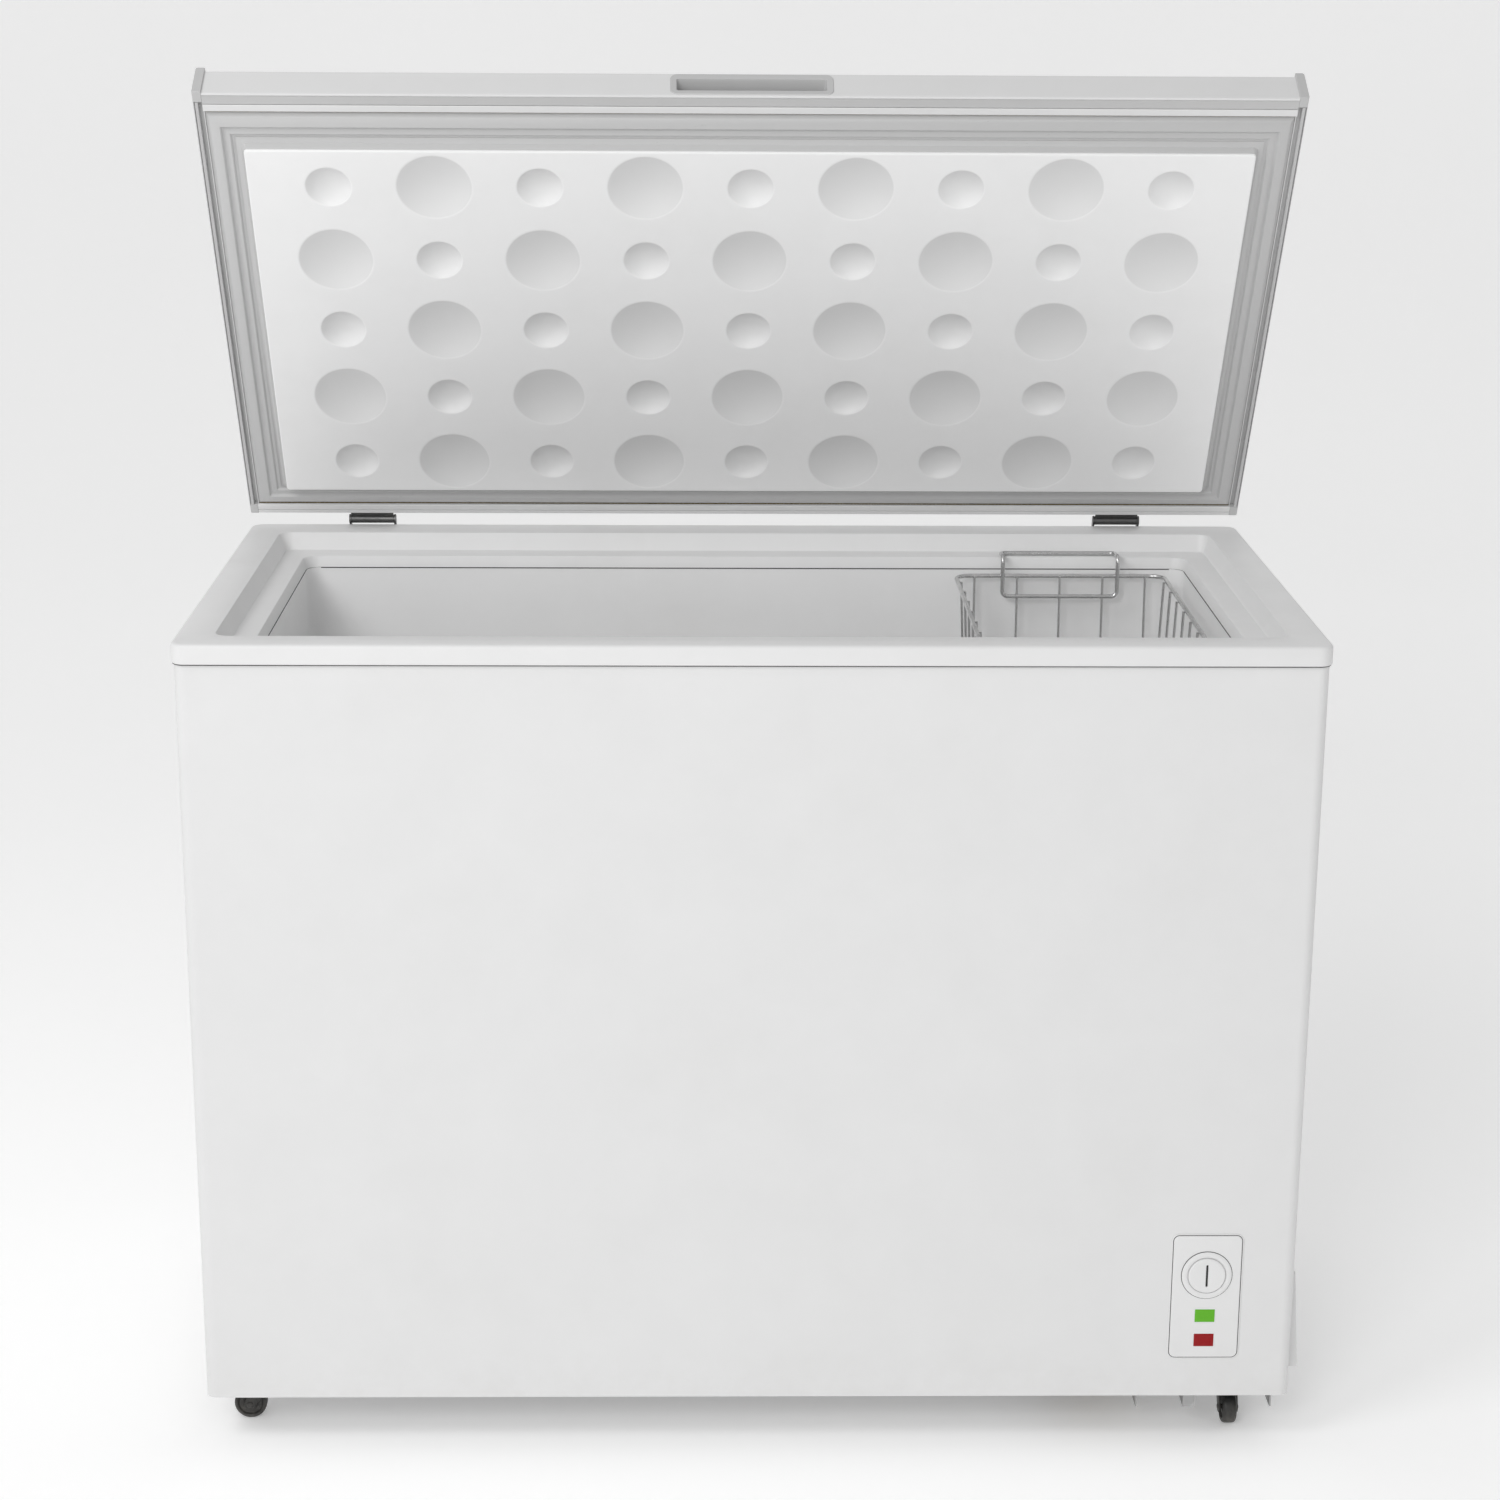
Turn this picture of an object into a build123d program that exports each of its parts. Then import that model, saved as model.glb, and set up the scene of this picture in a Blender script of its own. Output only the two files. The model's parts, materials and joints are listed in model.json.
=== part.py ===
from build123d import *
import math
import os

# Chest freezer on casters, lid propped open. Millimetres, +Z up, -Y is the front.
# The origin is on the floor, under the middle of the cabinet.

# Overall sizes
WIDTH = 1060.0  # across the rim collar
DEPTH = 550.0  # front to back of the rim collar
RIM_HEIGHT = 803.0  # floor to the top of the rim collar
FLOOR_GAP = 50.0  # floor to the underside of the cabinet

# Cabinet sheet metal
SHEET = 0.8
COLLAR_OVERHANG = 2.7  # how far the collar stands outside the wrap
WRAP_CORNER = 10.0
EDGE_RETURN = 18.0  # folded edge under and behind the wrap

# Insulated walls, measured from the wrap's outer face to the tank's inner face
WALL_SIDE = 65.3
WALL_FRONT = 65.3
WALL_REAR = 79.3
WALL_FLOOR = 60.0
TANK_SHEET = 1.0
TANK_CORNER = 18.0

# Machine compartment at the right-hand end, and the step it makes in the tank
STEP_WIDTH = 217.0  # tank inner face to the step's face
STEP_HEIGHT = 220.0  # tank floor to the step's top
STEP_WALL = 55.0  # foam over and beside the compartment
COVER_LAP = 12.0  # the rear cover's overlap onto the rear panel

# Rim collar, from the outside in
COLLAR_WALL = 2.5
COLLAR_BAND = 19.0
SKIRT_GAP = 0.5  # between the collar's skirt and the wrap
COLLAR_CORNER = 14.0
COLLAR_EDGE = 2.0
LAND_SIDE = 36.0
LAND_REAR = 46.0
SLOPE_RUN = 6.0
LEDGE_DROP = 18.0
LIP_DROP = 30.0
LIP_RUN = 2.5
MOUTH_CORNER = 14.0

# Lid
LID_WIDTH = 1062.0
LID_DEPTH = 536.0
LID_THICKNESS = 38.0
LID_GAP = 2.5  # rim to the lid's underside, closed
LID_SETBACK = 8.0  # rim collar's rear face to the lid's rear face, closed
LID_SHEET = 0.8
LID_REST_ANGLE = 58.9
END_TRIM = 9.0
END_TRIM_PROUD = 2.0
EDGE_TRIM_FRONT = 23.0
EDGE_TRIM_REAR = 12.0
EDGE_TRIM_THICKNESS = 3.0
GASKET_WIDTH = 26.0
GASKET_CLEARANCE = 0.3
PLUG_DROP = 10.0
PLUG_REAR_EDGE = 42.0
PLUG_DEPTH = 436.0
PLUG_MARGIN = 44.0  # lid's side to the plug's side
LINER_SHEET = 1.5
LINER_FLANGE = 6.0  # the flange's height above the lid's underside

# Dimples pressed into the lid liner
DIMPLE_ROWS = 5
DIMPLE_COLUMNS = 9
DIMPLE_PITCH_X = 102.3
DIMPLE_PITCH_Y = 88.0
LARGE_DIMPLE = (74.0, 7.0)  # diameter, depth
SMALL_DIMPLE = (45.0, 9.0)

# Handle let into the lid's front face
HANDLE_WIDTH = 156.0
HANDLE_HEIGHT = 33.0
HANDLE_BASE = 1.2  # lid's underside to the handle's lower edge
HANDLE_LIP = 1.0
POCKET_WIDTH = 143.0
POCKET_HEIGHT = 18.5
POCKET_BASE = 8.4
POCKET_DEPTH = 22.0
HANDLE_WALL = 2.0

# Hinges
HINGE_FROM_END = 129.0  # the collar's end to the hinge's middle
HINGE_WIDTH = 50.0
HINGE_BEHIND_RIM = 2.0
HINGE_ABOVE_RIM = 5.0
HINGE_PLATE = 2.0
EAR_RADIUS = 5.0
KNUCKLE_RADIUS = 4.5
PIN_RADIUS = 2.5
RUNNING_FIT = 0.05
MOVING_GAP = 0.4
HINGE_BOX_DEPTH = 20.0
HINGE_BOX_HEIGHT = 100.0
HINGE_BOX_BELOW_BAND = 4.0
HINGE_SCREW_SPACING = 32.0
LEAF_SCREW_SPACING = 28.0
LEAF_HEIGHT = 32.0
SPRING_RADIUS = 7.0
SPRING_WIRE = 1.2
SPRING_TURNS = 9
SPRING_LENGTH = 72.0

# Control panel on the front of the machine compartment
PANEL_FROM_SIDE = 86.5  # the wrap's side to the panel's middle
PANEL_WIDTH = 69.5
PANEL_HEIGHT = 131.4
PANEL_RISE = 40.0  # above the cabinet's underside
PANEL_CORNER = 7.5
PANEL_THICKNESS = 1.6
PANEL_MARGIN = 7.0
DIAL_RISE = 128.8
DIAL_RADIUS = 18.0
DIAL_RING_RADIUS = 24.0
DIAL_RING_PROUD = 1.5
DIAL_PROUD = 1.0
DIAL_SLOT = (2.0, 23.0, 1.0)  # width, length, depth
DIAL_SHAFT_RADIUS = 3.0
DIAL_SHAFT_REACH = 7.5  # into the thermostat
LENS_WIDTH = 19.8
LENS_HEIGHT = 13.8
LENS_PROUD = 0.4
LENS_DEPTH = 2.0  # how far a lens reaches behind the wrap's face
TRAY_DEPTH = 6.0
TRAY_WALL = 1.5
TRAY_GAP = 0.3
THERMOSTAT = (34.0, 26.0, 40.0)
THERMOSTAT_GAP = 0.5
SENSOR_TUBE = 1.2
SENSOR_RUN = 14.0
LAMP_RADIUS = 5.0
LAMP_LENGTH = 22.0
GREEN_LENS_RISE = 86.0
RED_LENS_RISE = 60.2

# Side vent hood over the machine compartment
VENT_FROM_FRONT = 30.0
VENT_LENGTH = 240.0
VENT_RISE = 16.0
VENT_HEIGHT = 100.0
VENT_PROUD_TOP = 6.0
VENT_PROUD_BASE = 13.0
VENT_WALL = 2.0
VENT_MARGIN = 12.0
VENT_SLOT = 4.0
VENT_SLOT_PITCH = 11.0

# Base plate under the machine compartment
BASE_FROM_SIDE = 16.3
BASE_WIDTH = 133.0
BASE_SHEET = 1.5
BASE_FLANGE_DROP = 14.0
BRACKET_FROM_EDGE = 52.2
BRACKET_DEPTH = 60.0
BRACKET_WIDTH = 11.5
BASE_INSET = 4.0

# Casters
CASTER_FROM_SIDE = 51.3
CASTER_FROM_END = 59.3
WHEEL_RADIUS = 16.0
WHEEL_WIDTH = 14.0
CASTER_TRAIL = 17.0
CASTER_PLATE_DIAMETER = 38.0
CASTER_PLATE_DROP = 4.0  # below the cabinet's underside
FORK_RADIUS = 15.0
FORK_CROWN = 3.0
FORK_CHEEK = 2.2
FORK_BOSS = 6.0
SWIVEL_PIN = 4.0
AXLE_RADIUS = 2.5
# name, x side, y side, and the turn of the trailing wheel about the swivel
CASTERS = [
    ("front_left", -1, -1, 0.0),
    ("front_right", 1, -1, 90.0),
    ("rear_left", -1, 1, 145.0),
    ("rear_right", 1, 1, 215.0),
]

# Wire basket, hung on the collar's ledge
BASKET_END_GAP = 21.75  # basket to the tank's right-hand wall
BASKET_WIDTH = 219.5
BASKET_WALL_GAP = 13.0  # rim wire to the tank's front and rear walls
BASKET_DEPTH_BELOW_RIM = 35.0
BASKET_HEIGHT = 200.0
BASKET_TAPER = 8.0
BASKET_PITCH = 45.0
RIM_WIRE = 2.25
MESH_WIRE = 1.4
MESH_BEND = 8.0
BASKET_CORNER = 16.0
HANGER_SPACING = 121.0
HANGER_GRIP_BELOW_RIM = 56.0
HANGER_LEDGE_REACH = 8.0
HANGER_BEND = 6.0
REST_GAP = 0.3

# Drain through the tank floor, at the left
DRAIN_FROM_END = 62.0
DRAIN_FROM_FRONT = 57.0
DRAIN_RADIUS = 10.0
DRAIN_BORE = 7.0
DRAIN_FLANGE = 16.0
DRAIN_FLANGE_HEIGHT = 2.0
DRAIN_OUTLET = 14.0
DRAIN_SHOULDER = 2.0  # the tube's extra radius inside the cabinet floor

# Rear cover and its cable gland
COVER_SLOTS = 9
GLAND_INSET = 28.0
GLAND_RISE = 30.0
GLAND_RADIUS = 7.0
GLAND_BORE = 4.0
GLAND_LIP = 3.0
GLAND_FLANGE = 4.0

# Compressor and its fittings
COMPRESSOR_FROM_REAR = 177.3
COMPRESSOR_WIDTH = 112.0
COMPRESSOR_LENGTH = 150.0
COMPRESSOR_HEIGHT = 158.0
COMPRESSOR_ROUND = 30.0
FOOT_SPACING_X = 96.0
FOOT_SPACING_Y = 170.0
FOOT_HEIGHT = 12.0
FOOT_RADIUS = 9.0
FOOT_BOLT = 3.0
FOOT_PLATE = 2.5
FOOT_MARGIN = 11.0
CAN_RING = 3.0
CAN_RING_HEIGHT = 4.0
CAN_SEAM = 0.55  # the welded seam's place up the can
BOLT_HEAD = 5.5
RELAY_BOX = (22.0, 52.0, 46.0)
RELAY_RISE = 60.0
PIPE = 3.0
EVAPORATOR_PIPE = 4.0
EVAPORATOR_TURNS = 6
COIL_ABOVE_STEP = 40.0
COIL_BELOW_RIM = 99.5
CONDENSER_ABOVE_ROOM = 60.0
CONDENSER_BELOW_RIM = 62.0
CONDENSER_FROM_SIDE = 40.0
CONDENSER_RUNS = 8
BEND_SHARE = 0.38  # the condenser's bend radius, as a share of its pitch
PIPE_BEND = 14.0
SUCTION_RISE = 110.0
SUCTION_RUN = 40.0
DISCHARGE_RISE = 60.0
DISCHARGE_RUN = 60.0
PIPE_SPREAD = 20.0
DRIER_RADIUS = 9.0
DRIER_LENGTH = 110.0
DRIER_RISE = 60.0
DRIER_X = 40.0
DRIER_Y = 95.0
CAPILLARY = 1.5

# Places worked out from the sizes above
HALF_WRAP = WIDTH / 2 - COLLAR_OVERHANG
WRAP_FRONT = -DEPTH / 2 + COLLAR_OVERHANG
WRAP_REAR = DEPTH / 2 - COLLAR_OVERHANG
WRAP_TOP = RIM_HEIGHT - COLLAR_WALL - SKIRT_GAP
WRAP_INNER = HALF_WRAP - SHEET
PANEL_Y = WRAP_REAR - SHEET  # outer face of the rear panel
TANK_HALF = HALF_WRAP - WALL_SIDE
TANK_FRONT = WRAP_FRONT + WALL_FRONT
TANK_REAR = WRAP_REAR - WALL_REAR
TANK_FLOOR = FLOOR_GAP + WALL_FLOOR
TANK_TOP = RIM_HEIGHT - LIP_DROP
STEP_X = TANK_HALF - STEP_WIDTH
STEP_TOP = TANK_FLOOR + STEP_HEIGHT
ROOM_X = STEP_X + STEP_WALL
ROOM_TOP = STEP_TOP - STEP_WALL
LEDGE_Z = RIM_HEIGHT - LEDGE_DROP
LAND_HALF = WIDTH / 2 - LAND_SIDE
LAND_FRONT_EDGE = -DEPTH / 2 + LAND_SIDE
LAND_REAR_EDGE = DEPTH / 2 - LAND_REAR
BOTTOM_PANEL_Z = FLOOR_GAP + SHEET
HINGE_Y = DEPTH / 2 + HINGE_BEHIND_RIM
HINGE_Z = RIM_HEIGHT + HINGE_ABOVE_RIM
HINGE_AXIS = Axis((0, HINGE_Y, HINGE_Z), (-1, 0, 0))
LID_BASE = RIM_HEIGHT + LID_GAP
LID_TOP = LID_BASE + LID_THICKNESS
LID_REAR = DEPTH / 2 - LID_SETBACK
LID_FRONT = LID_REAR - LID_DEPTH
LID_HALF = LID_WIDTH / 2
SHELL_HALF = LID_HALF - END_TRIM
PLUG_HALF = LID_HALF - PLUG_MARGIN
PLUG_REAR = LID_REAR - PLUG_REAR_EDGE
PLUG_FRONT = PLUG_REAR - PLUG_DEPTH
PLUG_FACE = LID_BASE - PLUG_DROP
GASKET_HALF = SHELL_HALF - 0.5
GASKET_FRONT = LID_FRONT + EDGE_TRIM_FRONT
GASKET_REAR = LID_REAR - EDGE_TRIM_REAR
PANEL_X = HALF_WRAP - PANEL_FROM_SIDE
PANEL_BASE = FLOOR_GAP + PANEL_RISE
DIAL_HEIGHT = FLOOR_GAP + DIAL_RISE
DIAL_Y = WRAP_FRONT - PANEL_THICKNESS
GREEN_LENS_HEIGHT = FLOOR_GAP + GREEN_LENS_RISE
RED_LENS_HEIGHT = FLOOR_GAP + RED_LENS_RISE
VENT_BASE = FLOOR_GAP + VENT_RISE
BASE_X1 = HALF_WRAP - BASE_FROM_SIDE
BASE_X0 = BASE_X1 - BASE_WIDTH
BRACKET_X = BASE_X0 + BRACKET_FROM_EDGE
CASTER_X = HALF_WRAP - CASTER_FROM_SIDE
CASTER_Y = WRAP_REAR - CASTER_FROM_END
CASTER_PLATE_BASE = FLOOR_GAP - CASTER_PLATE_DROP
BASKET_X = TANK_HALF - BASKET_END_GAP - BASKET_WIDTH / 2
DRAIN_X = DRAIN_FROM_END - TANK_HALF
DRAIN_Y = TANK_FRONT + DRAIN_FROM_FRONT
HINGE_X = WIDTH / 2 - HINGE_FROM_END
AXLE_Z = WHEEL_RADIUS
BASKET_RIM_Z = RIM_HEIGHT - BASKET_DEPTH_BELOW_RIM
BASKET_FRONT = TANK_FRONT + BASKET_WALL_GAP
BASKET_REAR = TANK_REAR - BASKET_WALL_GAP
COMPRESSOR_X = (BASE_X0 + BASE_X1) / 2
COMPRESSOR_Y = WRAP_REAR - COMPRESSOR_FROM_REAR
CAN_BASE = FLOOR_GAP + FOOT_HEIGHT + FOOT_PLATE
CAN_FRONT = COMPRESSOR_Y - COMPRESSOR_LENGTH / 2
PIPE_TOP = ROOM_TOP + 10.0
HINGE_BOX_TOP = RIM_HEIGHT - COLLAR_BAND - HINGE_BOX_BELOW_BAND
HINGE_BOX_BASE = HINGE_BOX_TOP - HINGE_BOX_HEIGHT
THERMOSTAT_Y = WRAP_FRONT + TRAY_DEPTH + THERMOSTAT_GAP
CONDENSER_Z = ROOM_TOP + CONDENSER_ABOVE_ROOM
CONDENSER_PITCH = (RIM_HEIGHT - CONDENSER_BELOW_RIM - CONDENSER_Z) / (CONDENSER_RUNS - 1)
EVAPORATOR_Z = STEP_TOP + COIL_ABOVE_STEP
EVAPORATOR_RISE = (RIM_HEIGHT - COIL_BELOW_RIM - EVAPORATOR_Z) / (4 * EVAPORATOR_TURNS - 1)


def block(x0, x1, y0, y1, z0, z1):
    """A box between two corners."""
    middle = Pos((x0 + x1) / 2, (y0 + y1) / 2, (z0 + z1) / 2)
    return middle * Box(x1 - x0, y1 - y0, z1 - z0)


def outline(x0, x1, y0, y1, z, corner):
    """A rounded rectangle lying at height z."""
    middle = Pos((x0 + x1) / 2, (y0 + y1) / 2, z)
    return middle * RectangleRounded(x1 - x0, y1 - y0, corner)


def slab(x0, x1, y0, y1, z0, z1, corner):
    """A box with rounded upright corners."""
    return extrude(outline(x0, x1, y0, y1, z0, corner), z1 - z0)


def rod(start, end, radius):
    """A round bar from one point to another."""
    run = Vector(*end) - Vector(*start)
    face = Plane(origin=start, z_dir=run) * Circle(radius)
    return extrude(face, run.length)


def wire(points, radius, bend, close=False):
    """A round wire or pipe along straight runs with rounded bends."""
    path = FilletPolyline(*points, radius=bend, close=close)
    start = path.edges()[0]
    face = Plane(origin=start @ 0, z_dir=start % 0) * Circle(radius)
    return sweep(face, path=path)


def opened(shape):
    """Turns a lid piece from closed to the propped angle."""
    return shape.rotate(HINGE_AXIS, LID_REST_ANGLE)


# Cabinet


def outer_wrap():
    """Front and two sides in one bent sheet, with returns behind and below."""
    outer = slab(-HALF_WRAP, HALF_WRAP, WRAP_FRONT, WRAP_REAR, FLOOR_GAP, WRAP_TOP, WRAP_CORNER)
    inside = WRAP_CORNER - SHEET
    front, rear = WRAP_FRONT + SHEET, WRAP_REAR - SHEET
    room = slab(-WRAP_INNER, WRAP_INNER, front, rear, BOTTOM_PANEL_Z, WRAP_TOP, inside)
    back_half = HALF_WRAP - EDGE_RETURN - SHEET
    back = block(-back_half, back_half, rear, WRAP_REAR, FLOOR_GAP, WRAP_TOP)
    under_half = WRAP_INNER - EDGE_RETURN
    under_front, under_rear = front + EDGE_RETURN, rear - EDGE_RETURN
    under = block(-under_half, under_half, under_front, under_rear, FLOOR_GAP, BOTTOM_PANEL_Z)
    wrap = outer - room - back - under
    wrap -= panel_opening()
    wrap -= vent_opening()
    return wrap


def panel_opening():
    """The hole in the front sheet that the control panel covers."""
    half = PANEL_WIDTH / 2 - PANEL_MARGIN
    z0, z1 = PANEL_BASE + PANEL_MARGIN, PANEL_BASE + PANEL_HEIGHT - PANEL_MARGIN
    return block(PANEL_X - half, PANEL_X + half, WRAP_FRONT, WRAP_FRONT + SHEET, z0, z1)


def vent_opening():
    """The hole in the right-hand side that the vent hood covers."""
    y0 = WRAP_FRONT + VENT_FROM_FRONT + VENT_MARGIN
    y1 = WRAP_FRONT + VENT_FROM_FRONT + VENT_LENGTH - VENT_MARGIN
    z0, z1 = VENT_BASE + VENT_MARGIN, VENT_BASE + VENT_HEIGHT - VENT_MARGIN
    return block(WRAP_INNER, HALF_WRAP, y0, y1, z0, z1)


def rear_window(margin):
    """The space behind the machine compartment, short of its edges by a margin."""
    y0, y1 = PANEL_Y - SHEET, WRAP_REAR
    x1 = HALF_WRAP - EDGE_RETURN - SHEET
    return block(ROOM_X + margin, x1 - margin, y0, y1, FLOOR_GAP + margin, ROOM_TOP - margin)


def rear_panel():
    half = WRAP_INNER - WRAP_CORNER
    panel = block(-half, half, PANEL_Y - SHEET, PANEL_Y, BOTTOM_PANEL_Z, WRAP_TOP)
    return panel - rear_window(COVER_LAP)


def rear_cover():
    """A slotted plate that closes the machine compartment from behind."""
    x0, x1 = ROOM_X, HALF_WRAP - EDGE_RETURN - SHEET - 0.5
    cover = block(x0, x1, PANEL_Y, WRAP_REAR, FLOOR_GAP + SHEET, ROOM_TOP)
    slot_half = (x1 - x0) / 2 - 2 * COVER_LAP
    middle = (x0 + x1) / 2
    count = COVER_SLOTS
    first = FLOOR_GAP + GLAND_RISE + 3 * COVER_LAP
    pitch = (ROOM_TOP - 2 * COVER_LAP - first) / (count - 1)
    for i in range(count):
        z = first + i * pitch
        slot = slab(middle - slot_half, middle + slot_half, -2.5, 2.5, -5, 5, 2.4)
        cover -= Pos(0, WRAP_REAR, z) * Rot(90, 0, 0) * slot
    return cover - gland_rod(PANEL_Y, WRAP_REAR, GLAND_RADIUS)


def gland_rod(y0, y1, radius):
    x, z = ROOM_X + GLAND_INSET, FLOOR_GAP + GLAND_RISE
    return rod((x, y0, z), (x, y1, z), radius)


def cable_gland():
    """A flanged grommet in the rear cover, where a supply cable would enter."""
    rear = WRAP_REAR + GLAND_LIP
    body = gland_rod(PANEL_Y - SHEET - GLAND_LIP, rear, GLAND_RADIUS)
    body += gland_rod(WRAP_REAR, rear, GLAND_RADIUS + GLAND_FLANGE)
    return body - gland_rod(PANEL_Y - SHEET - GLAND_LIP, rear, GLAND_BORE)


def bottom_panel():
    """The floor sheet, notched at its corners to clear the wrap's bends."""
    front, rear = WRAP_FRONT + SHEET, PANEL_Y - SHEET
    z0, z1 = BOTTOM_PANEL_Z, BOTTOM_PANEL_Z + SHEET
    panel = block(-WRAP_INNER, ROOM_X, front + WRAP_CORNER, rear - WRAP_CORNER, z0, z1)
    panel += block(-WRAP_INNER + WRAP_CORNER, ROOM_X, front, rear, z0, z1)
    return panel - drain_hole()


def drain_hole():
    """The way through the floor for the drain tube's shouldered length."""
    return drain_rod(FLOOR_GAP, TANK_FLOOR, DRAIN_RADIUS + DRAIN_SHOULDER)


def drain_rod(z0, z1, radius):
    return rod((DRAIN_X, DRAIN_Y, z0), (DRAIN_X, DRAIN_Y, z1), radius)


def tank_space(grow, top):
    """The tank's inside, grown on every side but the top."""
    x0, x1 = -TANK_HALF - grow, TANK_HALF + grow
    y0, y1 = TANK_FRONT - grow, TANK_REAR + grow
    corner = TANK_CORNER + grow
    well = slab(x0, STEP_X + grow, y0, y1, TANK_FLOOR - grow, top, corner)
    shelf = slab(x0, x1, y0, y1, STEP_TOP - grow, top, corner)
    return well + shelf


def inner_tank():
    """The sheet-metal liner, stepped over the machine compartment."""
    tank = tank_space(TANK_SHEET, TANK_TOP) - tank_space(0, TANK_TOP)
    return tank - drain_hole()


def insulation_foam():
    """Rigid foam between the wrap and the tank, in blocks that meet at flat faces."""
    front, rear = WRAP_FRONT + SHEET, PANEL_Y - SHEET
    base = BOTTOM_PANEL_Z + SHEET
    top = RIM_HEIGHT - COLLAR_WALL
    foam = slab(-WRAP_INNER, WRAP_INNER, front, rear, base, top, WRAP_CORNER - SHEET)
    foam -= tank_space(TANK_SHEET, TANK_TOP)
    lip = COLLAR_WALL + LIP_RUN
    foam -= slab(*mouth(lip), TANK_TOP, LEDGE_Z - COLLAR_WALL, MOUTH_CORNER + lip)
    foam -= slab(*land(COLLAR_WALL), LEDGE_Z - COLLAR_WALL, top, MOUTH_CORNER + COLLAR_WALL)
    foam -= block(ROOM_X, WRAP_INNER, front, rear, base, ROOM_TOP)
    foam -= drain_hole()
    cells = foam_cells(front, rear, base, top)
    blocks = [foam & cell for cell in cells]
    rounds = foam.cut(*cells)
    return Compound(children=[solid for piece in blocks + [rounds] for solid in piece.solids()])


def foam_cells(front, rear, base, top):
    """Boxes round the floor, the step and each wall; the tank's rounded corners stay outside them."""
    left, right = -TANK_HALF - TANK_SHEET, TANK_HALF + TANK_SHEET
    step, floor, shelf = STEP_X + TANK_SHEET, TANK_FLOOR - TANK_SHEET, STEP_TOP - TANK_SHEET
    inner_front, inner_rear = TANK_FRONT - TANK_SHEET, TANK_REAR + TANK_SHEET
    cells = [
        block(-WRAP_INNER, step, front, rear, base, floor),
        block(step, ROOM_X, front, rear, base, shelf),
        block(ROOM_X, WRAP_INNER, front, rear, ROOM_TOP, shelf),
        block(-WRAP_INNER, left, front, rear, floor, top),
        block(right, WRAP_INNER, front, rear, shelf, top),
    ]
    for y0, y1 in ((front, inner_front), (inner_rear, rear)):
        cells.append(block(left, step, y0, y1, floor, shelf))
        cells.append(block(left, right, y0, y1, shelf, top))
    return cells


def mouth(grow):
    """The tank mouth's edges, grown outward."""
    return (-TANK_HALF - grow, TANK_HALF + grow, TANK_FRONT - grow, TANK_REAR + grow)


def land(grow):
    """The inner edges of the flat land that the gasket seals on, grown outward."""
    return (-LAND_HALF - grow, LAND_HALF + grow, LAND_FRONT_EDGE - grow, LAND_REAR_EDGE + grow)


def funnel(lower, upper):
    """A block with sloping sides between two rounded rectangles, each (edges, height, corner)."""
    faces = [outline(*edges, z, corner) for edges, z, corner in (lower, upper)]
    return loft(faces)


def collar():
    """The moulded rim: skirt, flat land, sloping step, ledge and lip."""
    half, front, rear = WIDTH / 2, -DEPTH / 2, DEPTH / 2
    band = RIM_HEIGHT - COLLAR_BAND
    under = RIM_HEIGHT - COLLAR_WALL
    body = slab(-half, half, front, rear, band, RIM_HEIGHT, COLLAR_CORNER)
    body = chamfer(body.faces().sort_by(Axis.Z)[-1].edges(), COLLAR_EDGE)
    hollow = COLLAR_OVERHANG - SKIRT_GAP
    x, y0, y1 = half - hollow, front + hollow, rear - hollow
    body -= slab(-x, x, y0, y1, band, under, WRAP_CORNER + SKIRT_GAP)
    body -= slab(*land(0), under, RIM_HEIGHT, MOUTH_CORNER)

    wall = COLLAR_WALL
    corner = MOUTH_CORNER - SLOPE_RUN
    step_foot = (land(wall - SLOPE_RUN), LEDGE_Z - wall, corner + wall)
    step_head = (land(wall), RIM_HEIGHT - wall / 2, MOUTH_CORNER + wall)
    step = funnel(step_foot, step_head)
    step -= funnel((land(-SLOPE_RUN), LEDGE_Z, corner), (land(0), RIM_HEIGHT, MOUTH_CORNER))
    lip = slab(*mouth(wall + LIP_RUN), TANK_TOP, LEDGE_Z, MOUTH_CORNER + wall + LIP_RUN)
    body = body + step + lip
    lip_foot = (mouth(0), TANK_TOP, MOUTH_CORNER)
    lip_head = (mouth(LIP_RUN), LEDGE_Z, MOUTH_CORNER + LIP_RUN)
    return body - funnel(lip_foot, lip_head)


def base_plate():
    """The channel under the machine compartment, with a flange down each side."""
    y0, y1 = WRAP_FRONT + BASE_INSET, WRAP_REAR - BASE_INSET
    plate = block(BASE_X0, BASE_X1, y0, y1, FLOOR_GAP - BASE_SHEET, FLOOR_GAP)
    base = FLOOR_GAP - BASE_FLANGE_DROP
    for x in (BASE_X0, BASE_X1 - BASE_SHEET):
        plate += block(x, x + BASE_SHEET, y0, y1, base, FLOOR_GAP)
    for x, y in foot_places():
        plate -= rod((x, y, FLOOR_GAP - 5), (x, y, FLOOR_GAP + 5), FOOT_BOLT)
    return plate


def base_bracket():
    """An angle that stiffens the base plate at the front."""
    y0 = WRAP_FRONT + BASE_INSET
    z0 = FLOOR_GAP - BASE_FLANGE_DROP
    x0, x1 = BRACKET_X - BRACKET_WIDTH / 2, BRACKET_X + BRACKET_WIDTH / 2
    top = FLOOR_GAP - BASE_SHEET
    bracket = block(x0, x1, y0, y0 + BASE_SHEET, z0, top)
    return bracket + block(x0, x0 + BASE_SHEET, y0, y0 + BRACKET_DEPTH, z0, top)


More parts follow.
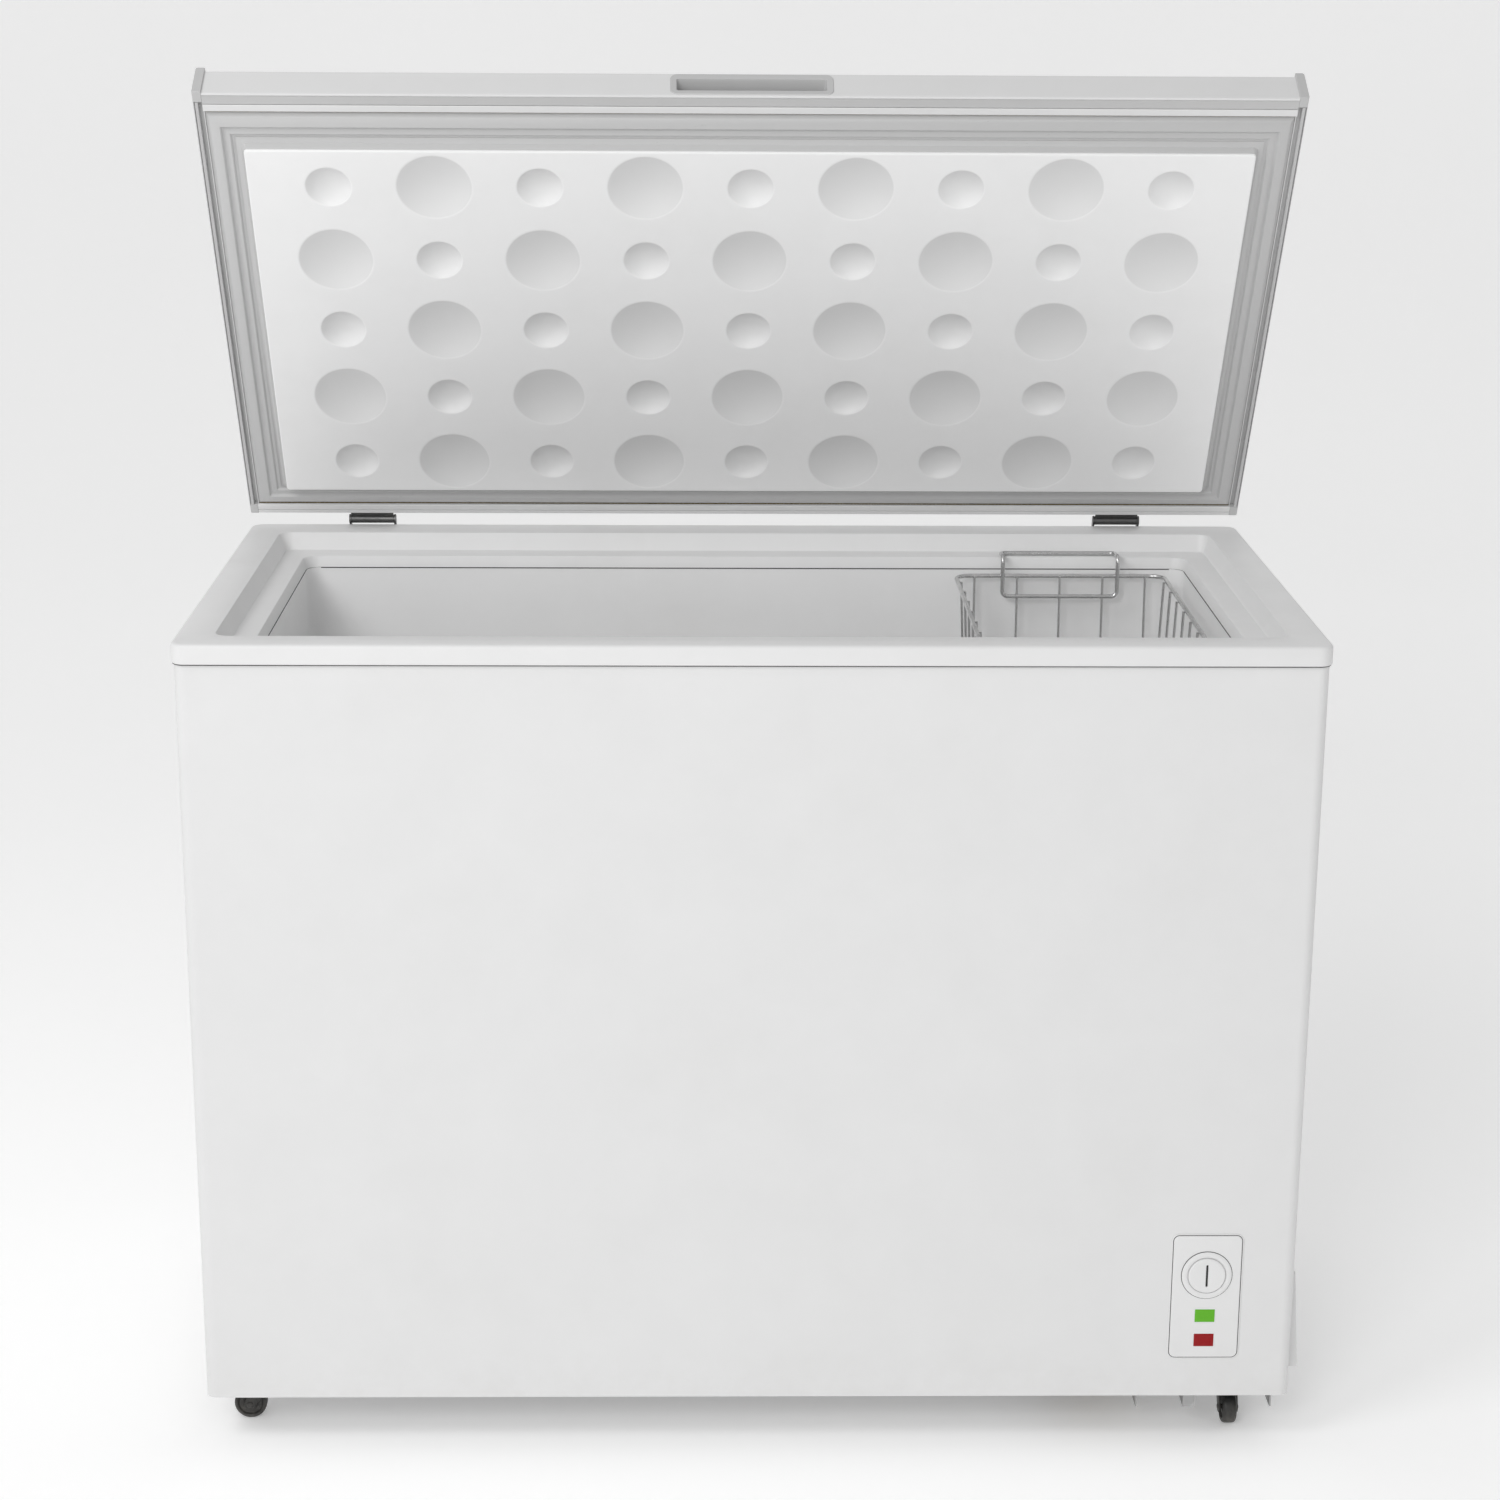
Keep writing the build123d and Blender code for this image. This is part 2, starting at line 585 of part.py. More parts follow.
def vent_hood():
    """A wedge-shaped louvred hood, thicker at its lower edge."""
    y0 = WRAP_FRONT + VENT_FROM_FRONT
    z1 = VENT_BASE + VENT_HEIGHT
    corners = [(0, VENT_BASE), (VENT_PROUD_BASE, VENT_BASE), (VENT_PROUD_TOP, z1), (0, z1)]
    profile = Polygon(*corners, align=None)
    wedge = extrude(Plane.XZ * profile, -VENT_LENGTH)
    hood = Pos(HALF_WRAP, y0, 0) * wedge
    slant = (VENT_PROUD_BASE - VENT_PROUD_TOP) / VENT_HEIGHT
    inner_low = VENT_PROUD_BASE - VENT_WALL - slant * VENT_WALL
    inner_high = VENT_PROUD_TOP - VENT_WALL + slant * VENT_WALL
    z0, z2 = VENT_BASE + VENT_WALL, z1 - VENT_WALL
    cavity = Polygon((0, z0), (inner_low, z0), (inner_high, z2), (0, z2), align=None)
    hollow = extrude(Plane.XZ * cavity, -(VENT_LENGTH - 2 * VENT_WALL))
    hood -= Pos(HALF_WRAP, y0 + VENT_WALL, 0) * hollow
    slots = int((VENT_HEIGHT - 2 * VENT_MARGIN) / VENT_SLOT_PITCH) + 1
    run = (VENT_LENGTH - 3 * VENT_MARGIN) / 2
    for i in range(slots):
        z = VENT_BASE + VENT_MARGIN + i * VENT_SLOT_PITCH
        for start in (y0 + VENT_MARGIN, y0 + 2 * VENT_MARGIN + run):
            hood -= block(HALF_WRAP + 0.5, HALF_WRAP + 20, start, start + run, z, z + VENT_SLOT)
    return hood


# Refrigeration


def foot_places():
    """Centres of the compressor's four feet."""
    places = []
    for side_x in (-1, 1):
        for side_y in (-1, 1):
            x = COMPRESSOR_X + side_x * FOOT_SPACING_X / 2
            places.append((x, COMPRESSOR_Y + side_y * FOOT_SPACING_Y / 2))
    return places


def compressor_slab(half_x, half_y, z0, z1, corner):
    """A rounded block centred on the compressor."""
    x, y = COMPRESSOR_X, COMPRESSOR_Y
    return slab(x - half_x, x + half_x, y - half_y, y + half_y, z0, z1, corner)


def compressor():
    """A welded can on a foot plate."""
    plate_z = FLOOR_GAP + FOOT_HEIGHT
    half_x, half_y = FOOT_SPACING_X / 2 + FOOT_MARGIN, FOOT_SPACING_Y / 2 + FOOT_MARGIN
    body = compressor_slab(half_x, half_y, plate_z, CAN_BASE, FOOT_MARGIN - 1)
    for x, y in foot_places():
        body -= rod((x, y, plate_z), (x, y, CAN_BASE), FOOT_BOLT)
    half_x, half_y = COMPRESSOR_WIDTH / 2, COMPRESSOR_LENGTH / 2
    can = compressor_slab(half_x, half_y, CAN_BASE, CAN_BASE + COMPRESSOR_HEIGHT, half_x - 2)
    ends = can.faces().sort_by(Axis.Z)
    can = fillet(ends[0].edges() + ends[-1].edges(), COMPRESSOR_ROUND)
    seam = CAN_BASE + CAN_SEAM * COMPRESSOR_HEIGHT
    ring_x, ring_y = half_x + CAN_RING, half_y + CAN_RING
    ring = compressor_slab(ring_x, ring_y, seam, seam + CAN_RING_HEIGHT, half_x)
    return body + can + ring


def compressor_grommets():
    """Rubber feet between the base plate and the compressor's foot plate."""
    feet = []
    for x, y in foot_places():
        ends = (x, y, FLOOR_GAP), (x, y, FLOOR_GAP + FOOT_HEIGHT)
        feet.append(rod(*ends, FOOT_RADIUS) - rod(*ends, FOOT_BOLT))
    return Compound(children=feet)


def compressor_bolts():
    """Bolts up through the feet, with hexagon nuts on top."""
    bolts = []
    for x, y in foot_places():
        bolt = rod((x, y, FLOOR_GAP - BASE_SHEET), (x, y, CAN_BASE + FOOT_BOLT), FOOT_BOLT)
        nut = Pos(x, y, CAN_BASE) * extrude(RegularPolygon(BOLT_HEAD, 6), FOOT_BOLT + 1)
        bolts.append(bolt + nut)
    return Compound(children=bolts)


def relay_box():
    """The starting relay's cover, on the compressor's left side."""
    x = COMPRESSOR_X - COMPRESSOR_WIDTH / 2
    base = FLOOR_GAP + FOOT_HEIGHT + RELAY_RISE
    proud, length, height = RELAY_BOX
    y0, y1 = COMPRESSOR_Y - length / 2, COMPRESSOR_Y + length / 2
    box = block(x - proud, x + 4, y0, y1, base, base + height)
    box = fillet(box.faces().sort_by(Axis.X)[0].edges(), 3)
    return box - compressor()


def condenser_coil():
    """Pipe runs foamed in behind the front sheet."""
    y = WRAP_FRONT + SHEET + PIPE + 0.2
    half = HALF_WRAP - CONDENSER_FROM_SIDE
    points = []
    for i in range(CONDENSER_RUNS):
        z = CONDENSER_Z + i * CONDENSER_PITCH
        ends = [(-half, y, z), (half, y, z)]
        points += ends if i % 2 else ends[::-1]
    return wire(points, PIPE, BEND_SHARE * CONDENSER_PITCH)


def evaporator_coil():
    """Pipe wound round the outside of the tank, above the step."""
    gap = TANK_SHEET + EVAPORATOR_PIPE + 0.5
    x, y0, y1 = TANK_HALF + gap, TANK_FRONT - gap, TANK_REAR + gap
    corners = [(-x, y0), (x, y0), (x, y1), (-x, y1)]
    points = []
    for i in range(4 * EVAPORATOR_TURNS):
        px, py = corners[i % 4]
        points.append((px, py, EVAPORATOR_Z + i * EVAPORATOR_RISE))
    return wire(points, EVAPORATOR_PIPE, TANK_CORNER + gap)


def suction_pipe():
    """Return pipe from the tank's coil down to the compressor."""
    x, z = COMPRESSOR_X + PIPE_SPREAD, CAN_BASE + SUCTION_RISE
    y = CAN_FRONT - SUCTION_RUN
    points = [(x, CAN_FRONT + 8, z), (x, y, z), (x, y, PIPE_TOP)]
    return wire(points, PIPE + 1, PIPE_BEND) - compressor()


def discharge_pipe():
    """Hot pipe from the compressor up to the condenser."""
    x, z = COMPRESSOR_X - PIPE_SPREAD, CAN_BASE + DISCHARGE_RISE
    y = CAN_FRONT - DISCHARGE_RUN
    points = [(x, CAN_FRONT + 8, z), (x, y, z), (x, y, PIPE_TOP)]
    return wire(points, PIPE, PIPE_BEND) - compressor()


def filter_drier():
    """A copper drier standing beside the compressor, with its neck pipes."""
    x, y = COMPRESSOR_X + DRIER_X, CAN_FRONT - DRIER_Y
    z0 = FLOOR_GAP + DRIER_RISE
    z1 = z0 + DRIER_LENGTH
    drier = rod((x, y, z0), (x, y, z1), DRIER_RADIUS)
    drier = fillet(drier.edges(), DRIER_RADIUS - PIPE)
    neck = rod((x, y, z1 - 2), (x, y, PIPE_TOP), PIPE)
    outlet = rod((x, y, z0 - DRIER_RISE / 4), (x, y, z0 + 2), CAPILLARY)
    return drier + neck + outlet


def capillary_tube():
    """A thin tube, led round below the drier, that feeds the evaporator."""
    x, y = COMPRESSOR_X + DRIER_X, CAN_FRONT - DRIER_Y
    z = FLOOR_GAP + DRIER_RISE * 3 / 4
    low, front, side = z - 20, y - 60, x - 30
    points = [(x, y, z), (x, y, low), (x, front, low), (side, front, low), (side, front, PIPE_TOP)]
    return wire(points, CAPILLARY, 9)


# Controls


def control_panel():
    """A thin moulded plate with a raised ring round the dial and a tray behind."""
    z0, z1 = PANEL_BASE, PANEL_BASE + PANEL_HEIGHT
    face = Rot(90, 0, 0) * RectangleRounded(PANEL_WIDTH, PANEL_HEIGHT, PANEL_CORNER)
    panel = Pos(PANEL_X, WRAP_FRONT, (z0 + z1) / 2) * extrude(face, PANEL_THICKNESS)
    panel = chamfer(panel.faces().sort_by(Axis.Y)[0].edges(), 0.5)
    edge = PANEL_MARGIN + TRAY_GAP
    tray = panel_box(edge, WRAP_FRONT) - panel_box(edge + TRAY_WALL, WRAP_FRONT + TRAY_WALL)
    ring = dial_disc(DIAL_Y - DIAL_RING_PROUD, DIAL_Y, DIAL_RING_RADIUS)
    ring = chamfer(ring.faces().sort_by(Axis.Y)[0].edges(), 1.0)
    panel = panel + tray + ring
    front = DIAL_Y - DIAL_RING_PROUD
    panel -= dial_disc(front, WRAP_FRONT, DIAL_RADIUS + MOVING_GAP)
    panel -= dial_disc(front, WRAP_FRONT + TRAY_DEPTH, DIAL_SHAFT_RADIUS + 1)
    for height in (GREEN_LENS_HEIGHT, RED_LENS_HEIGHT):
        panel -= lens(height)
    return panel


def panel_box(inset, y0):
    """A box behind the panel, inset from its edges, from a depth to the tray's back."""
    half = PANEL_WIDTH / 2 - inset
    z0, z1 = PANEL_BASE + inset, PANEL_BASE + PANEL_HEIGHT - inset
    return block(PANEL_X - half, PANEL_X + half, y0, WRAP_FRONT + TRAY_DEPTH, z0, z1)


def dial_disc(y0, y1, radius):
    """A disc on the dial's axis, between two depths."""
    return rod((PANEL_X, y0, DIAL_HEIGHT), (PANEL_X, y1, DIAL_HEIGHT), radius)


def thermostat_dial():
    """The knob: a flat disc with a coin slot, on its shaft."""
    front = DIAL_Y - DIAL_RING_PROUD - DIAL_PROUD
    knob = dial_disc(front, WRAP_FRONT - MOVING_GAP, DIAL_RADIUS)
    knob = chamfer(knob.faces().sort_by(Axis.Y)[0].edges(), 0.8)
    width, length, depth = DIAL_SLOT
    x0, z0 = PANEL_X - width / 2, DIAL_HEIGHT - length / 2
    knob -= block(x0, x0 + width, front, front + depth, z0, z0 + length)
    return knob + dial_disc(WRAP_FRONT - 1, THERMOSTAT_Y + DIAL_SHAFT_REACH, DIAL_SHAFT_RADIUS)


def lens(height):
    """A lamp window, let through the panel."""
    x0, z0 = PANEL_X - LENS_WIDTH / 2, height - LENS_HEIGHT / 2
    front, rear = DIAL_Y - LENS_PROUD, WRAP_FRONT + LENS_DEPTH
    window = block(x0, x0 + LENS_WIDTH, front, rear, z0, z0 + LENS_HEIGHT)
    return chamfer(window.faces().sort_by(Axis.Y)[0].edges(), 0.3)


def lamp_holders():
    """A round holder with a flat connector tail behind each lens."""
    holders = []
    y0 = WRAP_FRONT + LENS_DEPTH
    y1 = y0 + LAMP_LENGTH
    for height in (GREEN_LENS_HEIGHT, RED_LENS_HEIGHT):
        holder = rod((PANEL_X, y0, height), (PANEL_X, y1, height), LAMP_RADIUS)
        tail = block(PANEL_X - 2, PANEL_X + 2, y1 - 4, y1 + 8, height - 4, height + 4)
        holders.append(holder + tail)
    return Compound(children=holders)


def thermostat_body():
    """The switch behind the dial, bored for the dial's shaft."""
    width, depth, height = THERMOSTAT
    x0, z0 = PANEL_X - width / 2, DIAL_HEIGHT - height / 2
    body = block(x0, x0 + width, THERMOSTAT_Y, THERMOSTAT_Y + depth, z0, z0 + height)
    body = fillet(body.edges().filter_by(Axis.Y), 3)
    bore_end = THERMOSTAT_Y + DIAL_SHAFT_REACH + 4
    return body - dial_disc(THERMOSTAT_Y, bore_end, DIAL_SHAFT_RADIUS + RUNNING_FIT)


def sensor_tube():
    """The thermostat's thin sensing tube, led up towards the tank."""
    y = THERMOSTAT_Y + THERMOSTAT[1]
    bend_y = y + SENSOR_RUN
    points = [(PANEL_X, y, DIAL_HEIGHT), (PANEL_X, bend_y, DIAL_HEIGHT), (PANEL_X, bend_y, PIPE_TOP)]
    return wire(points, SENSOR_TUBE, 6)


# Hinges


def ear_outline(base):
    """The hinge ear's side view, from the box's top up round the pin."""
    box_rear = WRAP_REAR + HINGE_BOX_DEPTH
    clear = DEPTH / 2 + 0.6
    corners = [(clear, base), (box_rear, base), (HINGE_Y + EAR_RADIUS, HINGE_Z), (clear, HINGE_Z)]
    shape = Polygon(*corners, align=None)
    return shape + Pos(HINGE_Y, HINGE_Z) * Circle(EAR_RADIUS)


def hinge_bracket(side):
    """A box open behind, screwed to the rear panel, whose cheeks hold the pin."""
    x0 = side * HINGE_X - HINGE_WIDTH / 2
    x1 = x0 + HINGE_WIDTH
    base, top = HINGE_BOX_BASE, HINGE_BOX_TOP
    rear = WRAP_REAR + HINGE_BOX_DEPTH
    box = block(x0, x1, WRAP_REAR, WRAP_REAR + HINGE_PLATE, base, top)
    box += block(x0, x1, WRAP_REAR, rear, base, base + HINGE_PLATE)
    for x in (x0, x1 - HINGE_PLATE):
        box += block(x, x + HINGE_PLATE, WRAP_REAR, rear, base, top)
        ear = extrude(Plane.YZ * ear_outline(top), HINGE_PLATE)
        box += Pos(x, 0, 0) * ear
    return box - hinge_pin(side, PIN_RADIUS)


def hinge_pin(side, radius):
    x0 = side * HINGE_X - HINGE_WIDTH / 2
    return rod((x0, HINGE_Y, HINGE_Z), (x0 + HINGE_WIDTH, HINGE_Y, HINGE_Z), radius)


def hinge_pins():
    return Compound(children=[hinge_pin(side, PIN_RADIUS) for side in (-1, 1)])


def hinge_springs():
    """A coil spring standing in each hinge box."""
    springs = []
    base = HINGE_BOX_BASE + HINGE_PLATE
    y = WRAP_REAR + HINGE_PLATE + SPRING_RADIUS + SPRING_WIRE + 1
    for side in (-1, 1):
        path = Helix(pitch=SPRING_LENGTH / SPRING_TURNS, height=SPRING_LENGTH, radius=SPRING_RADIUS)
        face = Plane(origin=path @ 0, z_dir=path % 0) * Circle(SPRING_WIRE)
        coil = sweep(face, path=path, is_frenet=True)
        springs.append(Pos(side * HINGE_X, y, base + SPRING_WIRE + 0.3) * coil)
    return Compound(children=springs)


def hinge_screws():
    """Pan-head screws through the hinge boxes into the rear panel."""
    screws = []
    y = WRAP_REAR + HINGE_PLATE
    for side in (-1, 1):
        for end in (-1, 1):
            for z in (HINGE_BOX_TOP - 14, HINGE_BOX_BASE + 18):
                x = side * HINGE_X + end * HINGE_SCREW_SPACING / 2
                head = rod((x, y, z), (x, y + 2.4, z), 4)
                screws.append(fillet(head.faces().sort_by(Axis.Y)[-1].edges(), 1.2))
    return Compound(children=screws)


def hinge_leaf(side):
    """The lid's half of the hinge: a plate on the lid's rear face and a knuckle."""
    half = HINGE_WIDTH / 2 - HINGE_PLATE - MOVING_GAP
    x = side * HINGE_X
    face = LID_REAR + HINGE_PLATE
    leaf = block(x - half, x + half, LID_REAR, face, LID_BASE + 1, LID_BASE + 1 + LEAF_HEIGHT)
    web = HINGE_PLATE / 2
    leaf += block(x - half, x + half, face - 0.5, HINGE_Y, HINGE_Z - web, HINGE_Z + web)
    leaf += rod((x - half, HINGE_Y, HINGE_Z), (x + half, HINGE_Y, HINGE_Z), KNUCKLE_RADIUS)
    return leaf - hinge_pin(side, PIN_RADIUS + RUNNING_FIT)


def leaf_screws():
    screws = []
    y = LID_REAR + HINGE_PLATE
    for side in (-1, 1):
        for end in (-1, 1):
            for z in (HINGE_Z + 13, HINGE_Z + 24):
                x = side * HINGE_X + end * LEAF_SCREW_SPACING / 2
                head = rod((x, y, z), (x, y + 2, z), 3.5)
                screws.append(fillet(head.faces().sort_by(Axis.Y)[-1].edges(), 1.0))
    return Compound(children=screws)


# Lid, built closed


def lid_shell():
    """The pressed steel top, folded down at the front, back and ends."""
    base = LID_BASE + EDGE_TRIM_THICKNESS
    shell = block(-SHELL_HALF, SHELL_HALF, LID_FRONT, LID_REAR, base, LID_TOP)
    shell = fillet(shell.edges().filter_by(Axis.X).sort_by(Axis.Z)[-2:], 3.0)
    inner = SHELL_HALF - LID_SHEET
    shell -= block(-inner, inner, LID_FRONT + LID_SHEET, LID_REAR - LID_SHEET, base, LID_TOP - 3.0)
    middle = block(-inner, inner, LID_FRONT + 3.0, LID_REAR - 3.0, base, LID_TOP - LID_SHEET)
    return shell - middle - handle_hole()


def handle_hole():
    """The space the handle takes in the lid's front."""
    z0 = LID_BASE + POCKET_BASE - HANDLE_WALL
    z1 = z0 + POCKET_HEIGHT + 2 * HANDLE_WALL
    half = POCKET_WIDTH / 2 + HANDLE_WALL
    return block(-half, half, LID_FRONT, LID_FRONT + POCKET_DEPTH + HANDLE_WALL, z0, z1)


def handle_recess():
    """A moulded pull: a flange on the lid's face round a finger pocket."""
    z0 = LID_BASE + HANDLE_BASE + EDGE_TRIM_THICKNESS
    z1 = LID_BASE + HANDLE_BASE + HANDLE_HEIGHT
    half = HANDLE_WIDTH / 2
    handle = block(-half, half, LID_FRONT - HANDLE_LIP, LID_FRONT, z0, z1)
    handle = chamfer(handle.edges().filter_by(Axis.Y), 4.0)
    handle += handle_hole()
    pocket_z = LID_BASE + POCKET_BASE
    pocket = POCKET_WIDTH / 2
    y0, y1 = LID_FRONT - HANDLE_LIP, LID_FRONT + POCKET_DEPTH
    return handle - block(-pocket, pocket, y0, y1, pocket_z, pocket_z + POCKET_HEIGHT)


def end_trim(side):
    """The extruded trim on one end of the lid, with two grooves beneath."""
    x0, x1 = SHELL_HALF, LID_HALF
    front, top = LID_FRONT - END_TRIM_PROUD, LID_TOP + END_TRIM_PROUD
    trim = block(x0, x1, front, LID_REAR, LID_BASE, top)
    outer = trim.edges().filter_by(Axis.Y).sort_by(Axis.X)[-2:]
    trim = chamfer(outer, 1.5)
    trim -= block(x1 - 3.0, x1 - 2.0, LID_FRONT, LID_REAR, LID_BASE, LID_BASE + 1.5)
    trim -= block(x0, x0 + 2.5, LID_FRONT + EDGE_TRIM_FRONT, LID_REAR, LID_BASE, LID_BASE + 3.0)
    return trim if side > 0 else mirror(trim, about=Plane.YZ)


def edge_trim(y0, y1, groove):
    """A flat trim under the lid's front or rear edge."""
    trim = block(-SHELL_HALF, SHELL_HALF, y0, y1, LID_BASE, LID_BASE + EDGE_TRIM_THICKNESS)
    return trim - block(-SHELL_HALF, SHELL_HALF, groove - 0.7, groove + 0.7, LID_BASE, LID_BASE + 1.2)


def gasket_edges(inset):
    half = GASKET_HALF - inset
    return (-half, half, GASKET_FRONT + inset, GASKET_REAR - inset)


def gasket_ring(outer, inner, z0, z1):
    """A rectangular ring between two insets from the gasket's outer edge."""
    corner = 3.0
    ring = slab(*gasket_edges(outer), z0, z1, corner)
    return ring - slab(*gasket_edges(inner), z0, z1, corner)


def lid_gasket():
    """The magnetic seal: a base strip with a sealing bulb and an inner rib."""
    touch = RIM_HEIGHT + GASKET_CLEARANCE
    seat = LID_BASE + LINER_FLANGE - LINER_SHEET
    gasket = gasket_ring(0.5, GASKET_WIDTH, LID_BASE, seat)
    gasket += gasket_ring(1.5, 12.0, touch, LID_BASE)
    return gasket + gasket_ring(15.5, 19.5, touch + 1.0, LID_BASE)


def dimple_places():
    """Centres of the dimples, and whether each is large, in a checkerboard."""
    middle = (PLUG_FRONT + PLUG_REAR) / 2
    places = []
    for row in range(DIMPLE_ROWS):
        for column in range(DIMPLE_COLUMNS):
            x = (column - (DIMPLE_COLUMNS - 1) / 2) * DIMPLE_PITCH_X
            y = middle + (row - (DIMPLE_ROWS - 1) / 2) * DIMPLE_PITCH_Y
            places.append((x, y, (row + column) % 2 == 1))
    return places


def dimple_balls(grow):
    """Spheres that meet the plug's face in the dimples' circles."""
    balls = []
    for x, y, large in dimple_places():
        diameter, depth = LARGE_DIMPLE if large else SMALL_DIMPLE
        radius = (diameter**2 / 4 + depth**2) / (2 * depth)
        balls.append(Pos(x, y, PLUG_FACE - radius + depth) * Sphere(radius + grow))
    return balls


def plug(shrink, z0, z1):
    """The raised middle of the lid's underside."""
    half = PLUG_HALF - shrink
    return slab(-half, half, PLUG_FRONT + shrink, PLUG_REAR - shrink, z0, z1, 5.0)


def lid_liner():
    """The formed panel under the lid: a flange, a plug and pressed dimples."""
    flange_z = LID_BASE + LINER_FLANGE - LINER_SHEET
    half = SHELL_HALF - LID_SHEET
    front, rear = LID_FRONT + LID_SHEET, LID_REAR - LID_SHEET
    liner = block(-half, half, front, rear, flange_z, flange_z + LINER_SHEET)
    face = plug(0, PLUG_FACE, flange_z)
    room = plug(LINER_SHEET, PLUG_FACE, PLUG_FACE + 20)
    cups = [ball & room for ball in dimple_balls(LINER_SHEET)]
    hollow = plug(LINER_SHEET, PLUG_FACE + LINER_SHEET, flange_z + LINER_SHEET)
    liner = liner + face - hollow
    liner = liner.fuse(*cups)
    return liner.cut(*dimple_balls(0))


def lid_foam():
    """Rigid foam that fills the lid between its shell and its liner."""
    inner = SHELL_HALF - LID_SHEET
    seat = LID_BASE + LINER_FLANGE
    foam = block(-inner, inner, LID_FRONT + LID_SHEET, LID_REAR - LID_SHEET, seat, LID_TOP - 3.0)
    foam += block(-inner, inner, LID_FRONT + 3.0, LID_REAR - 3.0, LID_TOP - 3.0, LID_TOP - LID_SHEET)
    foam += plug(LINER_SHEET, PLUG_FACE + LINER_SHEET, seat)
    foam -= handle_hole()
    return foam.cut(*dimple_balls(LINER_SHEET))


# Basket


def basket_loop(inset, z, radius):
    """A closed rectangular hoop of wire."""
    half = BASKET_WIDTH / 2 - inset
    front, rear = BASKET_FRONT + inset, BASKET_REAR - inset
    corner = BASKET_CORNER - inset / 2
    path = outline(BASKET_X - half, BASKET_X + half, front, rear, z, corner).wire()
    start = path.edges()[0]
    face = Plane(origin=start @ 0, z_dir=start % 0) * Circle(radius)
    return sweep(face, path=path)


def centred(count, pitch):
    return [(i - (count - 1) / 2) * pitch for i in range(count)]


def basket_frame():
    """Three hoops and a cage of cross wires, each wire a solid that touches the ones it is welded to."""
    floor_z = BASKET_RIM_Z - BASKET_HEIGHT
    middle = BASKET_RIM_Z - BASKET_HEIGHT / 2
    in_rim = MESH_WIRE + RIM_WIRE
    in_floor = BASKET_TAPER + in_rim
    cross = 2 * MESH_WIRE
    wires = [
        basket_loop(0, BASKET_RIM_Z, RIM_WIRE),
        basket_loop(in_floor + MESH_BEND, floor_z, RIM_WIRE),
        basket_loop(BASKET_TAPER / 2 + in_rim - cross, middle, MESH_WIRE),
    ]
    half_x = BASKET_WIDTH / 2
    half_y = (BASKET_REAR - BASKET_FRONT) / 2
    middle_y = (BASKET_FRONT + BASKET_REAR) / 2
    low, top = floor_z + in_rim, BASKET_RIM_Z
    for x in centred(5, BASKET_PITCH):
        bends = mesh_bends(half_y - in_rim, half_y - in_floor, top, low)
        points = [(BASKET_X + x, middle_y + y, z) for y, z in bends]
        wires.append(wire(points, MESH_WIRE, MESH_BEND))
    rows = int((2 * half_y - 2 * BASKET_CORNER) / BASKET_PITCH) + 1
    for y in centred(rows, BASKET_PITCH):
        bends = mesh_bends(half_x - in_rim, half_x - in_floor, top, low + cross)
        points = [(BASKET_X + x, middle_y + y, z) for x, z in bends]
        wires.append(wire(points, MESH_WIRE, MESH_BEND))
    return Compound(children=wires)


def mesh_bends(upper, lower, top, low):
    """A U-shaped wire's four points across the basket, as (offset, height)."""
    return [(-upper, top), (-lower, low), (lower, low), (upper, top)]


def basket_hanger(side):
    """A closed wire loop: a grip below the basket's rim and a bar on the ledge."""
    rim_y = BASKET_REAR if side > 0 else BASKET_FRONT
    mouth_y = TANK_REAR + LIP_RUN if side > 0 else TANK_FRONT - LIP_RUN
    leg_y = rim_y - side * (2 * RIM_WIRE - 0.2)
    bar_y = mouth_y + side * HANGER_LEDGE_REACH
    bar_z = LEDGE_Z + RIM_WIRE + REST_GAP
    grip_z = RIM_HEIGHT - HANGER_GRIP_BELOW_RIM
    x0, x1 = BASKET_X - HANGER_SPACING / 2, BASKET_X + HANGER_SPACING / 2
    right = [(x1, leg_y, grip_z), (x1, leg_y, bar_z + 2), (x1, bar_y, bar_z)]
    left = [(x0, y, z) for _, y, z in reversed(right)]
    points = right + left
    return wire(points, RIM_WIRE, HANGER_BEND, close=True)


# Drain


def drain_tube():
    """A flanged tube from the tank floor to an open outlet, thicker inside the cabinet."""
    flange_top = TANK_FLOOR + DRAIN_FLANGE_HEIGHT
    tube = drain_rod(FLOOR_GAP - DRAIN_OUTLET, FLOOR_GAP, DRAIN_RADIUS)
    tube += drain_rod(FLOOR_GAP, TANK_FLOOR, DRAIN_RADIUS + DRAIN_SHOULDER)
    tube += drain_rod(TANK_FLOOR, flange_top, DRAIN_FLANGE)
    return tube - drain_rod(FLOOR_GAP - DRAIN_OUTLET, flange_top, DRAIN_BORE)


def drain_plug():
    """The stopper that lies on the flange and seals the tube from above."""
    top = TANK_FLOOR + DRAIN_FLANGE_HEIGHT
    stopper = drain_rod(top - 8, top, DRAIN_BORE - 0.1)
    return stopper + drain_rod(top, top + 3, DRAIN_FLANGE - 4)


# Casters, each turned about its swivel


def caster_place(side_x, side_y, turn):
    return Pos(side_x * CASTER_X, side_y * CASTER_Y, 0) * Rot(0, 0, turn)


def caster_plate(side_x):
    """A mounting disc with the swivel pin and its riveted head."""
    top = FLOOR_GAP - BASE_SHEET if side_x > 0 else BOTTOM_PANEL_Z
    plate = rod((0, 0, CASTER_PLATE_BASE), (0, 0, top), CASTER_PLATE_DIAMETER / 2)
    under_crown = CASTER_PLATE_BASE - MOVING_GAP - FORK_CROWN - MOVING_GAP
    plate += rod((0, 0, under_crown - 1.5), (0, 0, CASTER_PLATE_BASE), SWIVEL_PIN)
    return plate + rod((0, 0, under_crown - 1.5), (0, 0, under_crown), SWIVEL_PIN + 1.5)


